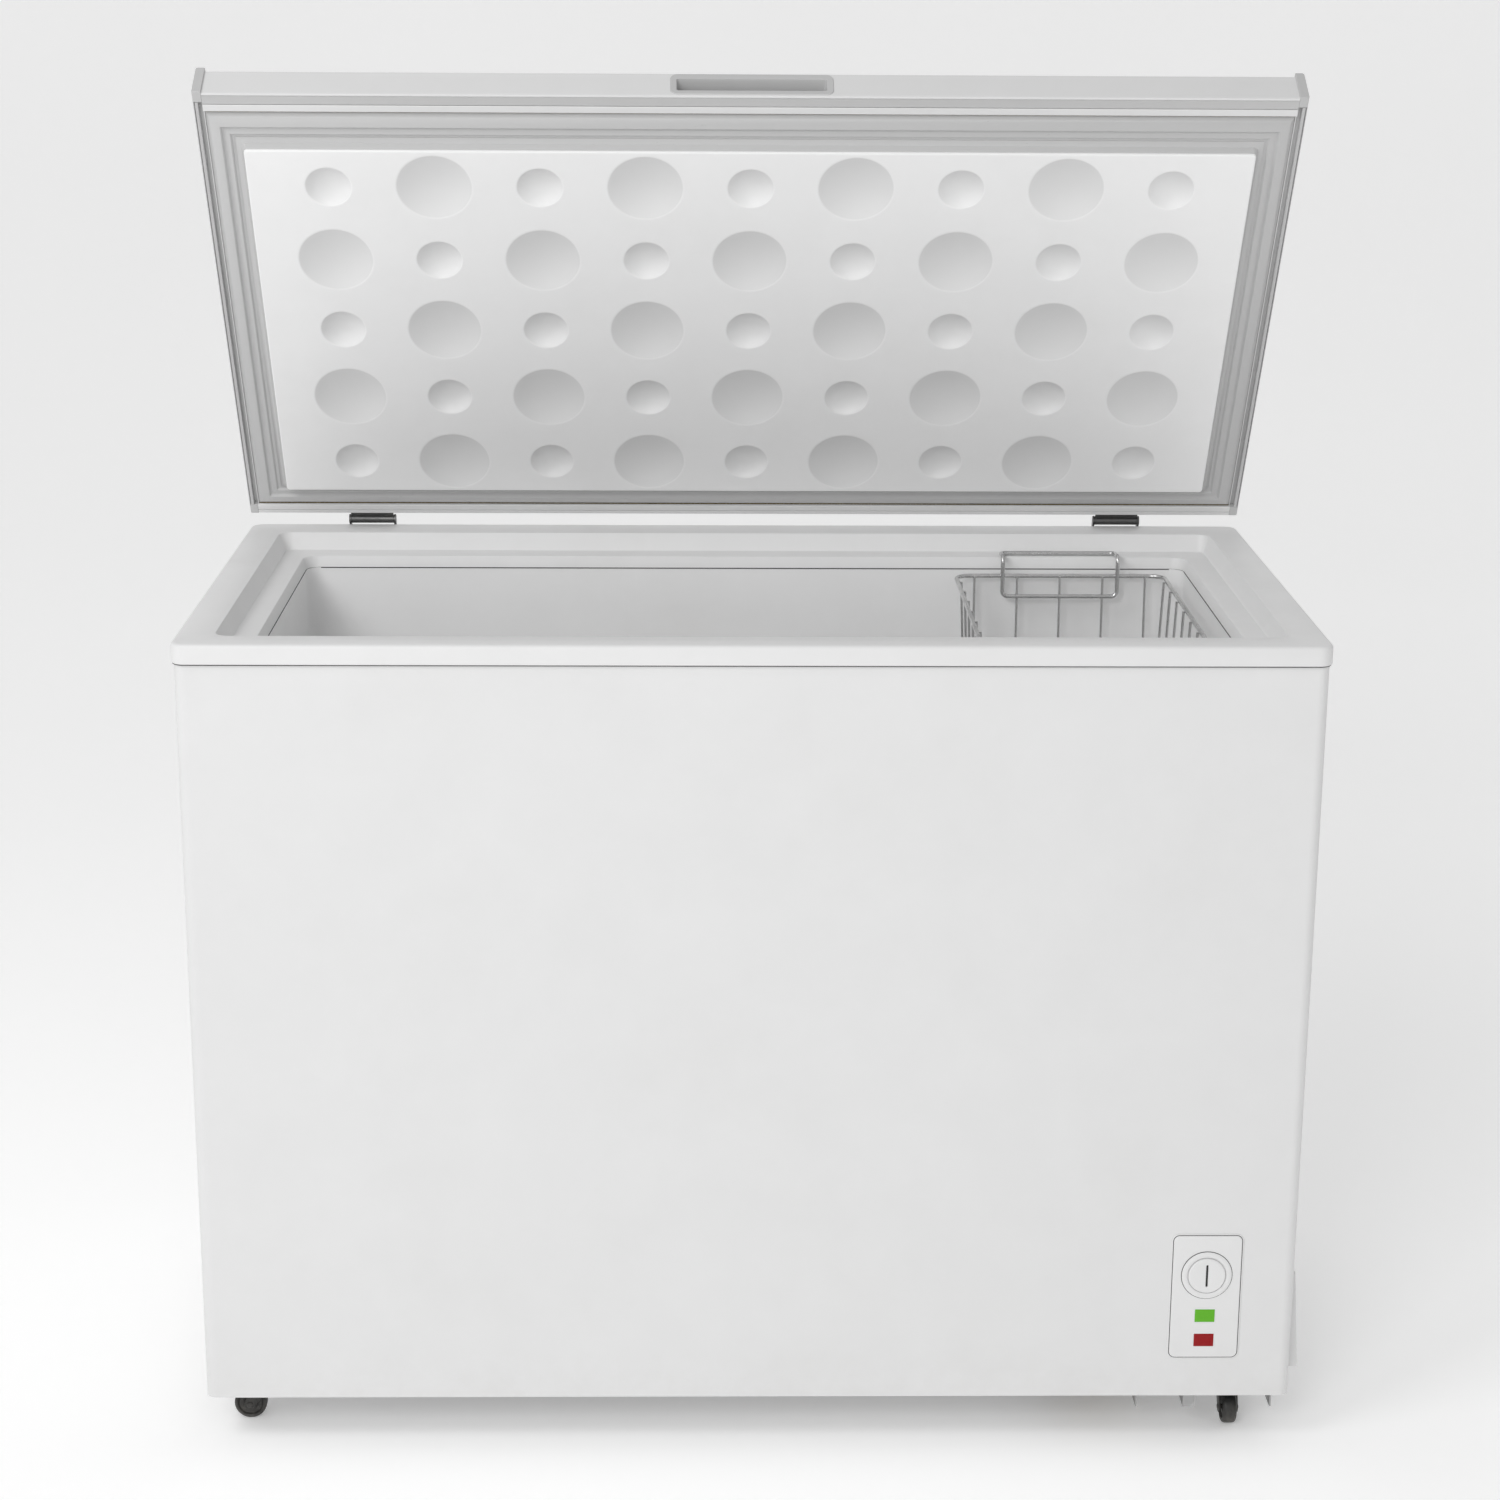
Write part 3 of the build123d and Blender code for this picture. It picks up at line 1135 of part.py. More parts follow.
def caster_plates():
    plates = [caster_place(sx, sy, 0) * caster_plate(sx) for _, sx, sy, _ in CASTERS]
    return Compound(children=plates)


def caster_fork():
    """A round crown with two cheeks that reach back to the axle."""
    crown_top = CASTER_PLATE_BASE - MOVING_GAP
    crown_base = crown_top - FORK_CROWN
    fork = rod((0, 0, crown_base), (0, 0, crown_top), FORK_RADIUS)
    reach = math.sqrt(FORK_RADIUS**2 - (WHEEL_WIDTH / 2 + MOVING_GAP + FORK_CHEEK) ** 2)
    boss = [(-FORK_BOSS, 0), (0, -FORK_BOSS), (FORK_BOSS, 0)]
    corners = [(x - CASTER_TRAIL, AXLE_Z + z) for x, z in boss]
    side = Polygon((reach, crown_top), (-reach, crown_top), *corners, align=None)
    side += Pos(-CASTER_TRAIL, AXLE_Z) * Circle(FORK_BOSS)
    inner = WHEEL_WIDTH / 2 + MOVING_GAP
    for y in (inner + FORK_CHEEK, -inner):
        fork += Pos(0, y, 0) * extrude(Plane.XZ * side, FORK_CHEEK)
    fork -= rod((0, 0, crown_base - 1), (0, 0, crown_top + 1), SWIVEL_PIN + RUNNING_FIT)
    return fork - caster_axle()


def axle_rod(half, radius):
    """A round bar on the wheel's axis, centred on the fork."""
    return rod((-CASTER_TRAIL, -half, AXLE_Z), (-CASTER_TRAIL, half, AXLE_Z), radius)


def caster_axle():
    return axle_rod(WHEEL_WIDTH / 2 + MOVING_GAP + FORK_CHEEK, AXLE_RADIUS)


def caster_wheel():
    wheel = axle_rod(WHEEL_WIDTH / 2, WHEEL_RADIUS)
    wheel = fillet(wheel.edges().filter_by(GeomType.CIRCLE), 3.0)
    return wheel - axle_rod(WHEEL_WIDTH / 2, AXLE_RADIUS + RUNNING_FIT)


def all_parts():
    """Every node's name and shape, in place."""
    parts = {
        "outer_wrap": outer_wrap(),
        "rear_panel": rear_panel(),
        "rear_cover": rear_cover(),
        "cable_gland": cable_gland(),
        "bottom_panel": bottom_panel(),
        "inner_tank": inner_tank(),
        "insulation_foam": insulation_foam(),
        "collar": collar(),
        "base_plate": base_plate(),
        "base_bracket": base_bracket(),
        "vent_hood": vent_hood(),
        "compressor": compressor(),
        "compressor_grommets": compressor_grommets(),
        "compressor_bolts": compressor_bolts(),
        "relay_box": relay_box(),
        "condenser_coil": condenser_coil(),
        "evaporator_coil": evaporator_coil(),
        "suction_pipe": suction_pipe(),
        "discharge_pipe": discharge_pipe(),
        "filter_drier": filter_drier(),
        "capillary_tube": capillary_tube(),
        "control_panel": control_panel(),
        "thermostat_dial": thermostat_dial(),
        "thermostat_body": thermostat_body(),
        "sensor_tube": sensor_tube(),
        "green_lens": lens(GREEN_LENS_HEIGHT),
        "red_lens": lens(RED_LENS_HEIGHT),
        "lamp_holders": lamp_holders(),
        "drain_tube": drain_tube(),
        "drain_plug": drain_plug(),
        "hinge_bracket_left": hinge_bracket(-1),
        "hinge_bracket_right": hinge_bracket(1),
        "hinge_pins": hinge_pins(),
        "hinge_springs": hinge_springs(),
        "hinge_screws": hinge_screws(),
        "basket_frame": basket_frame(),
        "basket_hanger_front": basket_hanger(-1),
        "basket_hanger_rear": basket_hanger(1),
        "caster_plates": caster_plates(),
    }
    lid = {
        "lid_shell": lid_shell(),
        "lid_foam": lid_foam(),
        "lid_liner": lid_liner(),
        "lid_gasket": lid_gasket(),
        "lid_end_trim_left": end_trim(-1),
        "lid_end_trim_right": end_trim(1),
        "lid_front_trim": edge_trim(LID_FRONT, GASKET_FRONT, LID_FRONT + 13.5),
        "lid_rear_trim": edge_trim(GASKET_REAR, LID_REAR, LID_REAR - 5.0),
        "handle_recess": handle_recess(),
        "hinge_leaf_left": hinge_leaf(-1),
        "hinge_leaf_right": hinge_leaf(1),
        "leaf_screws": leaf_screws(),
    }
    for node, shape in lid.items():
        parts[node] = opened(shape)
    for name, side_x, side_y, turn in CASTERS:
        place = caster_place(side_x, side_y, turn)
        parts["fork_" + name] = Compound(children=[place * caster_fork(), place * caster_axle()])
        parts["wheel_" + name] = place * caster_wheel()
    return parts


os.makedirs("parts", exist_ok=True)
for node, shape in all_parts().items():
    export_step(shape, f"parts/{node}.step")
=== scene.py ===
import json
import math

import bmesh
import bpy
from mathutils import Matrix, Vector


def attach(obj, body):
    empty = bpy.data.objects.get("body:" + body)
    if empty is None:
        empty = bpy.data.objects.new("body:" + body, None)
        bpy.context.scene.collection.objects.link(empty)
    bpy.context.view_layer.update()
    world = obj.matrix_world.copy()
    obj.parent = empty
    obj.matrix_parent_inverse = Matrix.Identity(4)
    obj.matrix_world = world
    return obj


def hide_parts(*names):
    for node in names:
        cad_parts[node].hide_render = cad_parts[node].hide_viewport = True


# Chest freezer: the finished outside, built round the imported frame. Pieces are modelled in
# millimetres and brought to metres as they are finished. Lid pieces are modelled with the
# lid closed, then swung up to the angle at which it is propped.

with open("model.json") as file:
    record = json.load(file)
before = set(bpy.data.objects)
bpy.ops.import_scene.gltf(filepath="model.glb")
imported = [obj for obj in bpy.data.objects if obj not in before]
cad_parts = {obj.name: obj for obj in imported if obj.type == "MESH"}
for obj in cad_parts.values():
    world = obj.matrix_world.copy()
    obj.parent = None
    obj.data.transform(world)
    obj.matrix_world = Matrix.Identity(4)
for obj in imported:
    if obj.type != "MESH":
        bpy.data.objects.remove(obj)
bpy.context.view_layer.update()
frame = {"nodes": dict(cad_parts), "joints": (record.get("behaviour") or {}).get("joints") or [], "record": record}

MM = 0.001
HINGE = next(joint for joint in frame["joints"] if joint["name"] == "lid_hinge")
HINGE_AT = Vector(HINGE["pos_m"]) / MM
PROPPED = math.radians(-HINGE["range_deg"][0])
SWING = (
    Matrix.Translation(HINGE_AT)
    @ Matrix.Rotation(PROPPED, 4, Vector(HINGE["axis"]))
    @ Matrix.Translation(-HINGE_AT)
)
SLOT_OF = {row["node"]: row["material_slot"] for row in frame["record"]["subparts"]}


class Room:
    """A CAD node's box in millimetres, with the lid's nodes measured closed."""

    def __init__(self, node, closed=False):
        back = SWING.inverted() if closed else Matrix.Identity(4)
        points = [back @ (v.co / MM) for v in frame["nodes"][node].data.vertices]
        self.x0, self.y0, self.z0 = (min(p[i] for p in points) for i in range(3))
        self.x1, self.y1, self.z1 = (max(p[i] for p in points) for i in range(3))
        self.plan = (self.x0, self.x1, self.y0, self.y1)
        self.front = (self.x0, self.x1, self.z0, self.z1)


# Camera

EYE = Vector((-0.0517, -2.9725, 1.4634))
PITCH, YAW, ROLL = math.radians(15.704), math.radians(1.034), math.radians(0.353)
LENS, SENSOR = 73.48, 36.0


def aim_camera():
    flat = math.cos(PITCH)
    ahead = Vector((math.sin(YAW) * flat, math.cos(YAW) * flat, -math.sin(PITCH)))
    level = Vector((math.cos(YAW), -math.sin(YAW), 0))
    above = level.cross(ahead)
    right = math.cos(ROLL) * level + math.sin(ROLL) * above
    up = math.cos(ROLL) * above - math.sin(ROLL) * level
    lens = bpy.data.cameras.new("camera")
    lens.lens, lens.sensor_width = LENS, SENSOR
    camera = bpy.data.objects.new("camera", lens)
    bpy.context.scene.collection.objects.link(camera)
    turn = Matrix((right, up, -ahead)).transposed().to_4x4()
    camera.matrix_world = Matrix.Translation(EYE) @ turn
    bpy.context.scene.camera = camera


# Shader groups


def new_group(name, inputs, outputs):
    group = bpy.data.node_groups.new(name, "ShaderNodeTree")
    for label, kind, value in inputs:
        socket = group.interface.new_socket(label, in_out="INPUT", socket_type=kind)
        if value is not None:
            socket.default_value = value
    for label, kind in outputs:
        group.interface.new_socket(label, in_out="OUTPUT", socket_type=kind)
    return group, group.nodes.new("NodeGroupInput"), group.nodes.new("NodeGroupOutput")


def add(tree, kind, links=(), **settings):
    """A node with its settings, and its inputs linked or set by (input, value or socket) pairs."""
    node = tree.nodes.new(kind)
    for key, value in settings.items():
        setattr(node, key, value)
    for key, value in links:
        if isinstance(value, bpy.types.NodeSocket):
            tree.links.new(value, node.inputs[key])
        else:
            node.inputs[key].default_value = value
    return node


FLOAT, VECTOR = "NodeSocketFloat", "NodeSocketVector"


def spread(tree, value, low, high, floor=0.0, ceiling=1.0):
    """Stretches a value from low..high to floor..ceiling, held at both ends."""
    links = [("Value", value), ("From Min", low), ("From Max", high)]
    links += [("To Min", floor), ("To Max", ceiling)]
    return add(tree, "ShaderNodeMapRange", links, clamp=True).outputs["Result"]


def noise(tree, place, scale, detail=2.0, rough=0.5):
    links = [("Vector", place), ("Scale", scale), ("Detail", detail), ("Roughness", rough)]
    return add(tree, "ShaderNodeTexNoise", links).outputs["Fac"]


def math_node(tree, operation, first, second):
    return add(tree, "ShaderNodeMath", [(0, first), (1, second)], operation=operation).outputs[0]


def skin_group():
    """Orange peel and fine grain: a height, and a mask of fine mottling."""
    inputs = [
        ("Place", VECTOR, None),
        ("Peel Scale", FLOAT, 180.0),
        ("Grain Scale", FLOAT, 1500.0),
        ("Grain Share", FLOAT, 0.3),
    ]
    group, given, out = new_group("skin_texture", inputs, [("Height", FLOAT), ("Mottle", FLOAT)])
    place = given.outputs["Place"]
    peel = noise(group, place, given.outputs["Peel Scale"], 1.5, 0.45)
    grain = noise(group, place, given.outputs["Grain Scale"], 2.0, 0.6)
    links = [("Factor", given.outputs["Grain Share"]), ("A", peel), ("B", grain)]
    both = add(group, "ShaderNodeMix", links, data_type="FLOAT")
    group.links.new(both.outputs["Result"], out.inputs["Height"])
    mottle = spread(group, noise(group, place, 14.0, 4.0, 0.6), 0.3, 0.7)
    group.links.new(mottle, out.inputs["Mottle"])
    return group


def handling_group():
    """Marks of use: soft smudges, fine scratches in patches, and dust that gathers low down."""
    inputs = [
        ("Place", VECTOR, None),
        ("Smudge Scale", FLOAT, 5.0),
        ("Scratch Scale", FLOAT, 26.0),
        ("Dust Height", FLOAT, 0.12),
    ]
    outputs = [("Smudge", FLOAT), ("Scratch", FLOAT), ("Dust", FLOAT)]
    group, given, out = new_group("handling_marks", inputs, outputs)
    place = given.outputs["Place"]
    patches = noise(group, place, given.outputs["Smudge Scale"], 5.0, 0.62)
    group.links.new(spread(group, patches, 0.52, 0.72), out.inputs["Smudge"])
    links = [("Vector", place), ("Rotation", (0.4, 0.7, 0.5)), ("Scale", (1.0, 22.0, 1.0))]
    drawn_out = add(group, "ShaderNodeMapping", links).outputs["Vector"]
    streaks = noise(group, drawn_out, given.outputs["Scratch Scale"], 3.0, 0.7)
    where = spread(group, noise(group, place, 9.0, 2.0), 0.5, 0.7)
    fine = spread(group, streaks, 0.66, 0.72)
    group.links.new(math_node(group, "MULTIPLY", fine, where), out.inputs["Scratch"])
    height = add(group, "ShaderNodeSeparateXYZ", [("Vector", place)]).outputs["Z"]
    low = math_node(group, "DIVIDE", height, given.outputs["Dust Height"])
    fade = spread(group, low, 0.35, 1.0, 1.0, 0.0)
    specks = spread(group, noise(group, place, 60.0, 5.0, 0.65), 0.35, 0.75)
    group.links.new(math_node(group, "MULTIPLY", fade, specks), out.inputs["Dust"])
    return group


def brushed_group():
    """Drawn metal: fine lines along X, and patches where the shine varies."""
    inputs = [
        ("Place", VECTOR, None),
        ("Line Scale", FLOAT, 900.0),
        ("Stretch", VECTOR, (0.02, 1.0, 1.0)),
    ]
    group, given, out = new_group("drawn_lines", inputs, [("Lines", FLOAT), ("Patches", FLOAT)])
    place = given.outputs["Place"]
    links = [(0, place), (1, given.outputs["Stretch"])]
    along = add(group, "ShaderNodeVectorMath", links, operation="MULTIPLY")
    lines = noise(group, along.outputs[0], given.outputs["Line Scale"], 2.0, 0.5)
    group.links.new(lines, out.inputs["Lines"])
    patches = spread(group, noise(group, place, 40.0, 3.0), 0.35, 0.65)
    group.links.new(patches, out.inputs["Patches"])
    return group


SKIN = skin_group()
HANDLING = handling_group()
BRUSHED = brushed_group()
DUST_COLOUR = (0.42, 0.39, 0.34, 1.0)


def tint(red, green, blue):
    """A colour from its screen values out of 255."""
    levels = (red, green, blue)
    return tuple(((level / 255 + 0.055) / 1.055) ** 2.4 for level in levels) + (1.0,)


def grey(level):
    return tint(level, level, level)


def mixed(tree, factor, first, second):
    links = [("Factor", factor), ("A", first), ("B", second)]
    return add(tree, "ShaderNodeMix", links, data_type="RGBA").outputs["Result"]


def start_material(name):
    material = bpy.data.materials.new(name)
    material.use_nodes = True
    tree = material.node_tree
    tree.nodes.clear()
    shader = tree.nodes.new("ShaderNodeBsdfPrincipled")
    surface = tree.nodes.new("ShaderNodeOutputMaterial")
    tree.links.new(shader.outputs["BSDF"], surface.inputs["Surface"])
    place = tree.nodes.new("ShaderNodeTexCoord").outputs["Object"]
    return material, tree, shader, place


def use_group(tree, group, place, **values):
    node = tree.nodes.new("ShaderNodeGroup")
    node.node_tree = group
    tree.links.new(place, node.inputs["Place"])
    for key, value in values.items():
        node.inputs[key.replace("_", " ")].default_value = value
    return node


def scaled(tree, value, share):
    return math_node(tree, "MULTIPLY", value, share)


def bump(tree, height, distance, strength, shader):
    links = [("Height", height), ("Distance", distance), ("Strength", strength)]
    normal = add(tree, "ShaderNodeBump", links).outputs["Normal"]
    tree.links.new(normal, shader.inputs["Normal"])


def coated(
    name, colour, rough, peel=180.0, peel_depth=0.00004, grain=1500.0, grain_share=0.3,
    soil=0.06, coat=0.0,
):
    """A painted or moulded finish: a textured skin, smudges, fine scratches and low dust."""
    material, tree, shader, place = start_material(name)
    skin = use_group(tree, SKIN, place, Peel_Scale=peel, Grain_Scale=grain, Grain_Share=grain_share)
    marks = use_group(tree, HANDLING, place)
    deeper = tuple(channel * 0.93 for channel in colour[:3]) + (1.0,)
    base = mixed(tree, scaled(tree, skin.outputs["Mottle"], 0.35), colour, deeper)
    soiled = mixed(tree, scaled(tree, marks.outputs["Smudge"], soil), base, DUST_COLOUR)
    dusty = mixed(tree, scaled(tree, marks.outputs["Dust"], 2.5 * soil), soiled, DUST_COLOUR)
    tree.links.new(dusty, shader.inputs["Base Color"])
    worn = scaled(tree, marks.outputs["Smudge"], 0.12)
    scratched = scaled(tree, marks.outputs["Scratch"], 0.18)
    varied = scaled(tree, skin.outputs["Mottle"], 0.06)
    total = math_node(tree, "ADD", math_node(tree, "ADD", worn, scratched), varied)
    tree.links.new(math_node(tree, "ADD", total, rough), shader.inputs["Roughness"])
    if coat:
        shader.inputs["Coat Weight"].default_value = coat
        shader.inputs["Coat Roughness"].default_value = 0.12
    bump(tree, skin.outputs["Height"], peel_depth, 0.6, shader)
    return material


def metal(name, colour, rough, stretch=(0.02, 1.0, 1.0), line_scale=900.0, spot=0.12):
    """Bare or plated metal: drawn lines, patches of duller shine, fine scratches and grime."""
    material, tree, shader, place = start_material(name)
    drawn = use_group(tree, BRUSHED, place, Line_Scale=line_scale, Stretch=stretch)
    marks = use_group(tree, HANDLING, place, Smudge_Scale=22.0, Scratch_Scale=60.0)
    darker = tuple(channel * 0.72 for channel in colour[:3]) + (1.0,)
    base = mixed(tree, scaled(tree, drawn.outputs["Patches"], 0.5), colour, darker)
    soiled = mixed(tree, scaled(tree, marks.outputs["Smudge"], spot), base, DUST_COLOUR)
    tree.links.new(soiled, shader.inputs["Base Color"])
    shader.inputs["Metallic"].default_value = 1.0
    uneven = scaled(tree, drawn.outputs["Patches"], 0.14)
    scratched = scaled(tree, marks.outputs["Scratch"], 0.2)
    total = math_node(tree, "ADD", uneven, scratched)
    tree.links.new(math_node(tree, "ADD", total, rough), shader.inputs["Roughness"])
    bump(tree, drawn.outputs["Lines"], 0.00003, 0.5, shader)
    return material


def galvanised_sheet():
    """Zinc-coated steel with its flat crystal spangle."""
    material, tree, shader, place = start_material("galvanised")
    links = [("Vector", place), ("Scale", 95.0), ("Randomness", 1.0)]
    crystals = add(tree, "ShaderNodeTexVoronoi", links, feature="F1")
    tone = add(tree, "ShaderNodeRGBToBW", [("Color", crystals.outputs["Color"])]).outputs[0]
    base = mixed(tree, tone, grey(150), grey(196))
    marks = use_group(tree, HANDLING, place, Smudge_Scale=8.0)
    soiled = mixed(tree, scaled(tree, marks.outputs["Smudge"], 0.15), base, DUST_COLOUR)
    tree.links.new(soiled, shader.inputs["Base Color"])
    shader.inputs["Metallic"].default_value = 0.85
    tree.links.new(spread(tree, tone, 0.0, 1.0, 0.34, 0.52), shader.inputs["Roughness"])
    bump(tree, noise(tree, place, 400.0, 2.0), 0.00003, 0.4, shader)
    return material


def lid_panel_material():
    """The lid's formed panel: the moulded finish, with painted shade greying the inside of each dish."""
    material = coated(
        "lid_panel", grey(249), 0.4, peel=60.0, peel_depth=0.00005, grain=1800.0, soil=0.04,
    )
    tree = material.node_tree
    shader = next(node for node in tree.nodes if node.type == "BSDF_PRINCIPLED")
    flat = shader.inputs["Base Color"].links[0].from_socket
    # Painted shade: the dish mask mixes the panel towards grey(226) inside the dishes.
    drawn = add(tree, "ShaderNodeAttribute", attribute_name="dish_shade").outputs["Fac"]
    shaded = mixed(tree, scaled(tree, drawn, 0.8), flat, grey(226))
    tree.links.new(shaded, shader.inputs["Base Color"])
    return material


def foam_material():
    """Rigid foam: a cream skin with open cells."""
    material, tree, shader, place = start_material("rigid_foam")
    links = [("Vector", place), ("Scale", 420.0)]
    cells = add(tree, "ShaderNodeTexVoronoi", links, feature="F1").outputs["Distance"]
    base = mixed(tree, spread(tree, cells, 0.1, 0.6), tint(226, 208, 160), tint(196, 172, 118))
    tree.links.new(base, shader.inputs["Base Color"])
    tree.links.new(spread(tree, cells, 0.0, 0.7, 0.8, 0.95), shader.inputs["Roughness"])
    bump(tree, cells, 0.0006, 0.8, shader)
    return material


def lens_material(name, colour, deep):
    """A coloured lamp window: ribs seen through a glossy face, lit a little from behind."""
    material, tree, shader, place = start_material(name)
    links = [("Vector", place), ("Scale", 260.0), ("Distortion", 0.4)]
    ribs = add(tree, "ShaderNodeTexWave", links, bands_direction="X")
    glow = mixed(tree, scaled(tree, ribs.outputs["Fac"], 0.25), colour, deep)
    tree.links.new(glow, shader.inputs["Base Color"])
    tree.links.new(glow, shader.inputs["Emission Color"])
    shader.inputs["Emission Strength"].default_value = 0.06
    shader.inputs["Specular IOR Level"].default_value = 0.25
    marks = use_group(tree, HANDLING, place, Smudge_Scale=120.0, Scratch_Scale=90.0)
    rough = spread(tree, marks.outputs["Scratch"], 0.0, 1.0, 0.22, 0.4)
    tree.links.new(rough, shader.inputs["Roughness"])
    bump(tree, ribs.outputs["Fac"], 0.00005, 0.3, shader)
    return material


def rubber(name, colour, rough, soil=0.25):
    """Rubber or nylon that has rolled and rubbed: a matt skin with scuffs and dust."""
    material, tree, shader, place = start_material(name)
    skin = use_group(tree, SKIN, place, Peel_Scale=500.0, Grain_Scale=2600.0, Grain_Share=0.5)
    scales = {"Smudge_Scale": 45.0, "Scratch_Scale": 120.0, "Dust_Height": 0.03}
    marks = use_group(tree, HANDLING, place, **scales)
    scuffed = mixed(tree, scaled(tree, marks.outputs["Scratch"], 0.35), colour, grey(120))
    dusty = mixed(tree, scaled(tree, marks.outputs["Dust"], soil), scuffed, DUST_COLOUR)
    tree.links.new(dusty, shader.inputs["Base Color"])
    varied = scaled(tree, marks.outputs["Smudge"], 0.15)
    tree.links.new(math_node(tree, "ADD", varied, rough), shader.inputs["Roughness"])
    bump(tree, skin.outputs["Height"], 0.00006, 0.7, shader)
    return material


FINISH = {
    "white_enamel": coated(
        "white_enamel", grey(226), 0.34, peel=260.0, peel_depth=0.00003, soil=0.035, coat=0.15,
    ),
    "white_moulding": coated(
        "white_moulding", grey(229), 0.42, peel=90.0, grain=2200.0, grain_share=0.5,
    ),
    "lid_panel": lid_panel_material(),
    "pale_trim": coated("pale_trim", grey(229), 0.4, peel=120.0),
    "grey_trim": coated("grey_trim", grey(196), 0.42, peel=120.0),
    "grey_gasket": rubber("grey_gasket", grey(196), 0.55, soil=0.0),
    "tank_sheet": coated(
        "tank_sheet", grey(244), 0.36, peel=420.0, peel_depth=0.00005, grain_share=0.15,
    ),
    "rigid_foam": foam_material(),
    "galvanised": galvanised_sheet(),
    "zinc_steel": metal("zinc_steel", grey(104), 0.34, spot=0.2),
    "plated_wire": metal(
        "plated_wire", grey(212), 0.16, stretch=(1.0, 1.0, 1.0), line_scale=1400.0, spot=0.05,
    ),
    "copper_pipe": metal("copper_pipe", tint(198, 118, 78), 0.28),
    "black_enamel": coated("black_enamel", grey(22), 0.34, soil=0.06),
    "black_nylon": rubber("black_nylon", grey(26), 0.42),
    "black_rubber": rubber("black_rubber", grey(40), 0.6, soil=0.3),
    "green_lens": lens_material("green_lens", tint(98, 176, 40), tint(60, 140, 24)),
    "red_lens": lens_material("red_lens", tint(146, 10, 16), tint(110, 6, 10)),
}


# Mesh helpers. Rings and shapes are drawn in millimetres. Two rings at one level are kept this
# far apart in height, so the walls between them never cross.

LEVEL_GAP = 0.02
CORNER_STEPS = 8
MERGE = 0.01


def ring(bm, edges, z, corner):
    """A rounded rectangle of edges (x0, x1, y0, y1) lying at height z."""
    x0, x1, y0, y1 = edges
    middle = Matrix.Translation(((x0 + x1) / 2, (y0 + y1) / 2, z))
    place = middle @ Matrix.Diagonal((x1 - x0, y1 - y0, 1, 1))
    known = set(bm.faces)
    made = bmesh.ops.create_grid(bm, x_segments=1, y_segments=1, size=0.5, matrix=place)
    if corner:
        bmesh.ops.bevel(
            bm, geom=made["verts"], offset=corner, offset_type="OFFSET",
            segments=CORNER_STEPS, profile=0.5, affect="VERTICES", material=-1,
        )
    face = next(face for face in bm.faces if face not in known)
    loop = list(face.edges)
    bmesh.ops.delete(bm, geom=[face], context="FACES_ONLY")
    return loop


def stacked(bm, rings, closed=False, cap_first=False, cap_last=False):
    """Walls between rounded rectangles, one after another: each is (edges, z, corner)."""
    loops, level = [], None
    for edges, z, corner in rings:
        if level is not None and abs(z - level) < LEVEL_GAP:
            z = level + LEVEL_GAP
        loops.append(ring(bm, edges, z, corner))
        level = z
    pairs = list(zip(loops, loops[1:]))
    if closed:
        pairs.append((loops[-1], loops[0]))
    for first, second in pairs:
        bmesh.ops.bridge_loops(bm, edges=first + second)
    if cap_first:
        bmesh.ops.contextual_create(bm, geom=loops[0])
    if cap_last:
        bmesh.ops.contextual_create(bm, geom=loops[-1])


def grown(edges, by):
    x0, x1, y0, y1 = edges
    return (x0 - by, x1 + by, y0 - by, y1 + by)


def turned(bm, profile, axis_at, axis, steps):
    """A profile of points spun once round an axis."""
    verts = [bm.verts.new(point) for point in profile]
    edges = [bm.edges.new(pair) for pair in zip(verts, verts[1:])]
    bmesh.ops.spin(
        bm, geom=verts + edges, cent=axis_at, axis=axis, angle=2 * math.pi, steps=steps,
        use_merge=True,
    )


def turned_up(bm, profile, centre, steps):
    """A profile of (distance out, height) pairs spun round the upright line through centre."""
    points = [centre + Vector((out, 0, rise)) for out, rise in profile]
    turned(bm, points, centre, (0, 0, 1), steps)


def fill_level(bm, level, facing):
    """Closes the open edges that lie at one height with a flat face."""
    rims = [
        edge for edge in bm.edges
        if edge.is_boundary and all(abs(vert.co.z - level) < 0.05 for vert in edge.verts)
    ]
    bmesh.ops.triangle_fill(
        bm, edges=rims, use_beauty=True, use_dissolve=False, normal=(0, 0, facing),
    )


def largest_faces(bm, direction):
    """Turns the whole shape's faces over, unless its largest one already faces direction."""
    bmesh.ops.recalc_face_normals(bm, faces=bm.faces)
    largest = max(bm.faces, key=lambda face: face.calc_area())
    if largest.normal.dot(direction) < 0:
        bmesh.ops.reverse_faces(bm, faces=bm.faces)


def stand_up(bm, y):
    """Turns a shape drawn flat, with its height along Z, to stand on a front face at depth y."""
    stand = Matrix.Translation((0, y, 0)) @ Matrix.Rotation(math.radians(90), 4, "X")
    bmesh.ops.transform(bm, matrix=stand, verts=bm.verts)


def prism(bm, outline, run):
    """An outline of points, filled and drawn out along run."""
    face = bm.faces.new([bm.verts.new(point) for point in outline])
    drawn = bmesh.ops.extrude_face_region(bm, geom=[face])
    moved = [item for item in drawn["geom"] if isinstance(item, bmesh.types.BMVert)]
    bmesh.ops.translate(bm, verts=moved, vec=run)


def brick(bm, edges, z0, z1, round_by):
    """A block over edges (x0, x1, y0, y1), its own edges rounded."""
    x0, x1, y0, y1 = edges
    middle = Matrix.Translation(((x0 + x1) / 2, (y0 + y1) / 2, (z0 + z1) / 2))
    place = middle @ Matrix.Diagonal((x1 - x0, y1 - y0, z1 - z0, 1))
    made = bmesh.ops.create_cube(bm, size=1.0, matrix=place)
    bmesh.ops.bevel(
        bm, geom=list({edge for vert in made["verts"] for edge in vert.link_edges}),
        offset=round_by, offset_type="OFFSET", segments=2, profile=0.5, affect="EDGES",
        material=-1,
    )


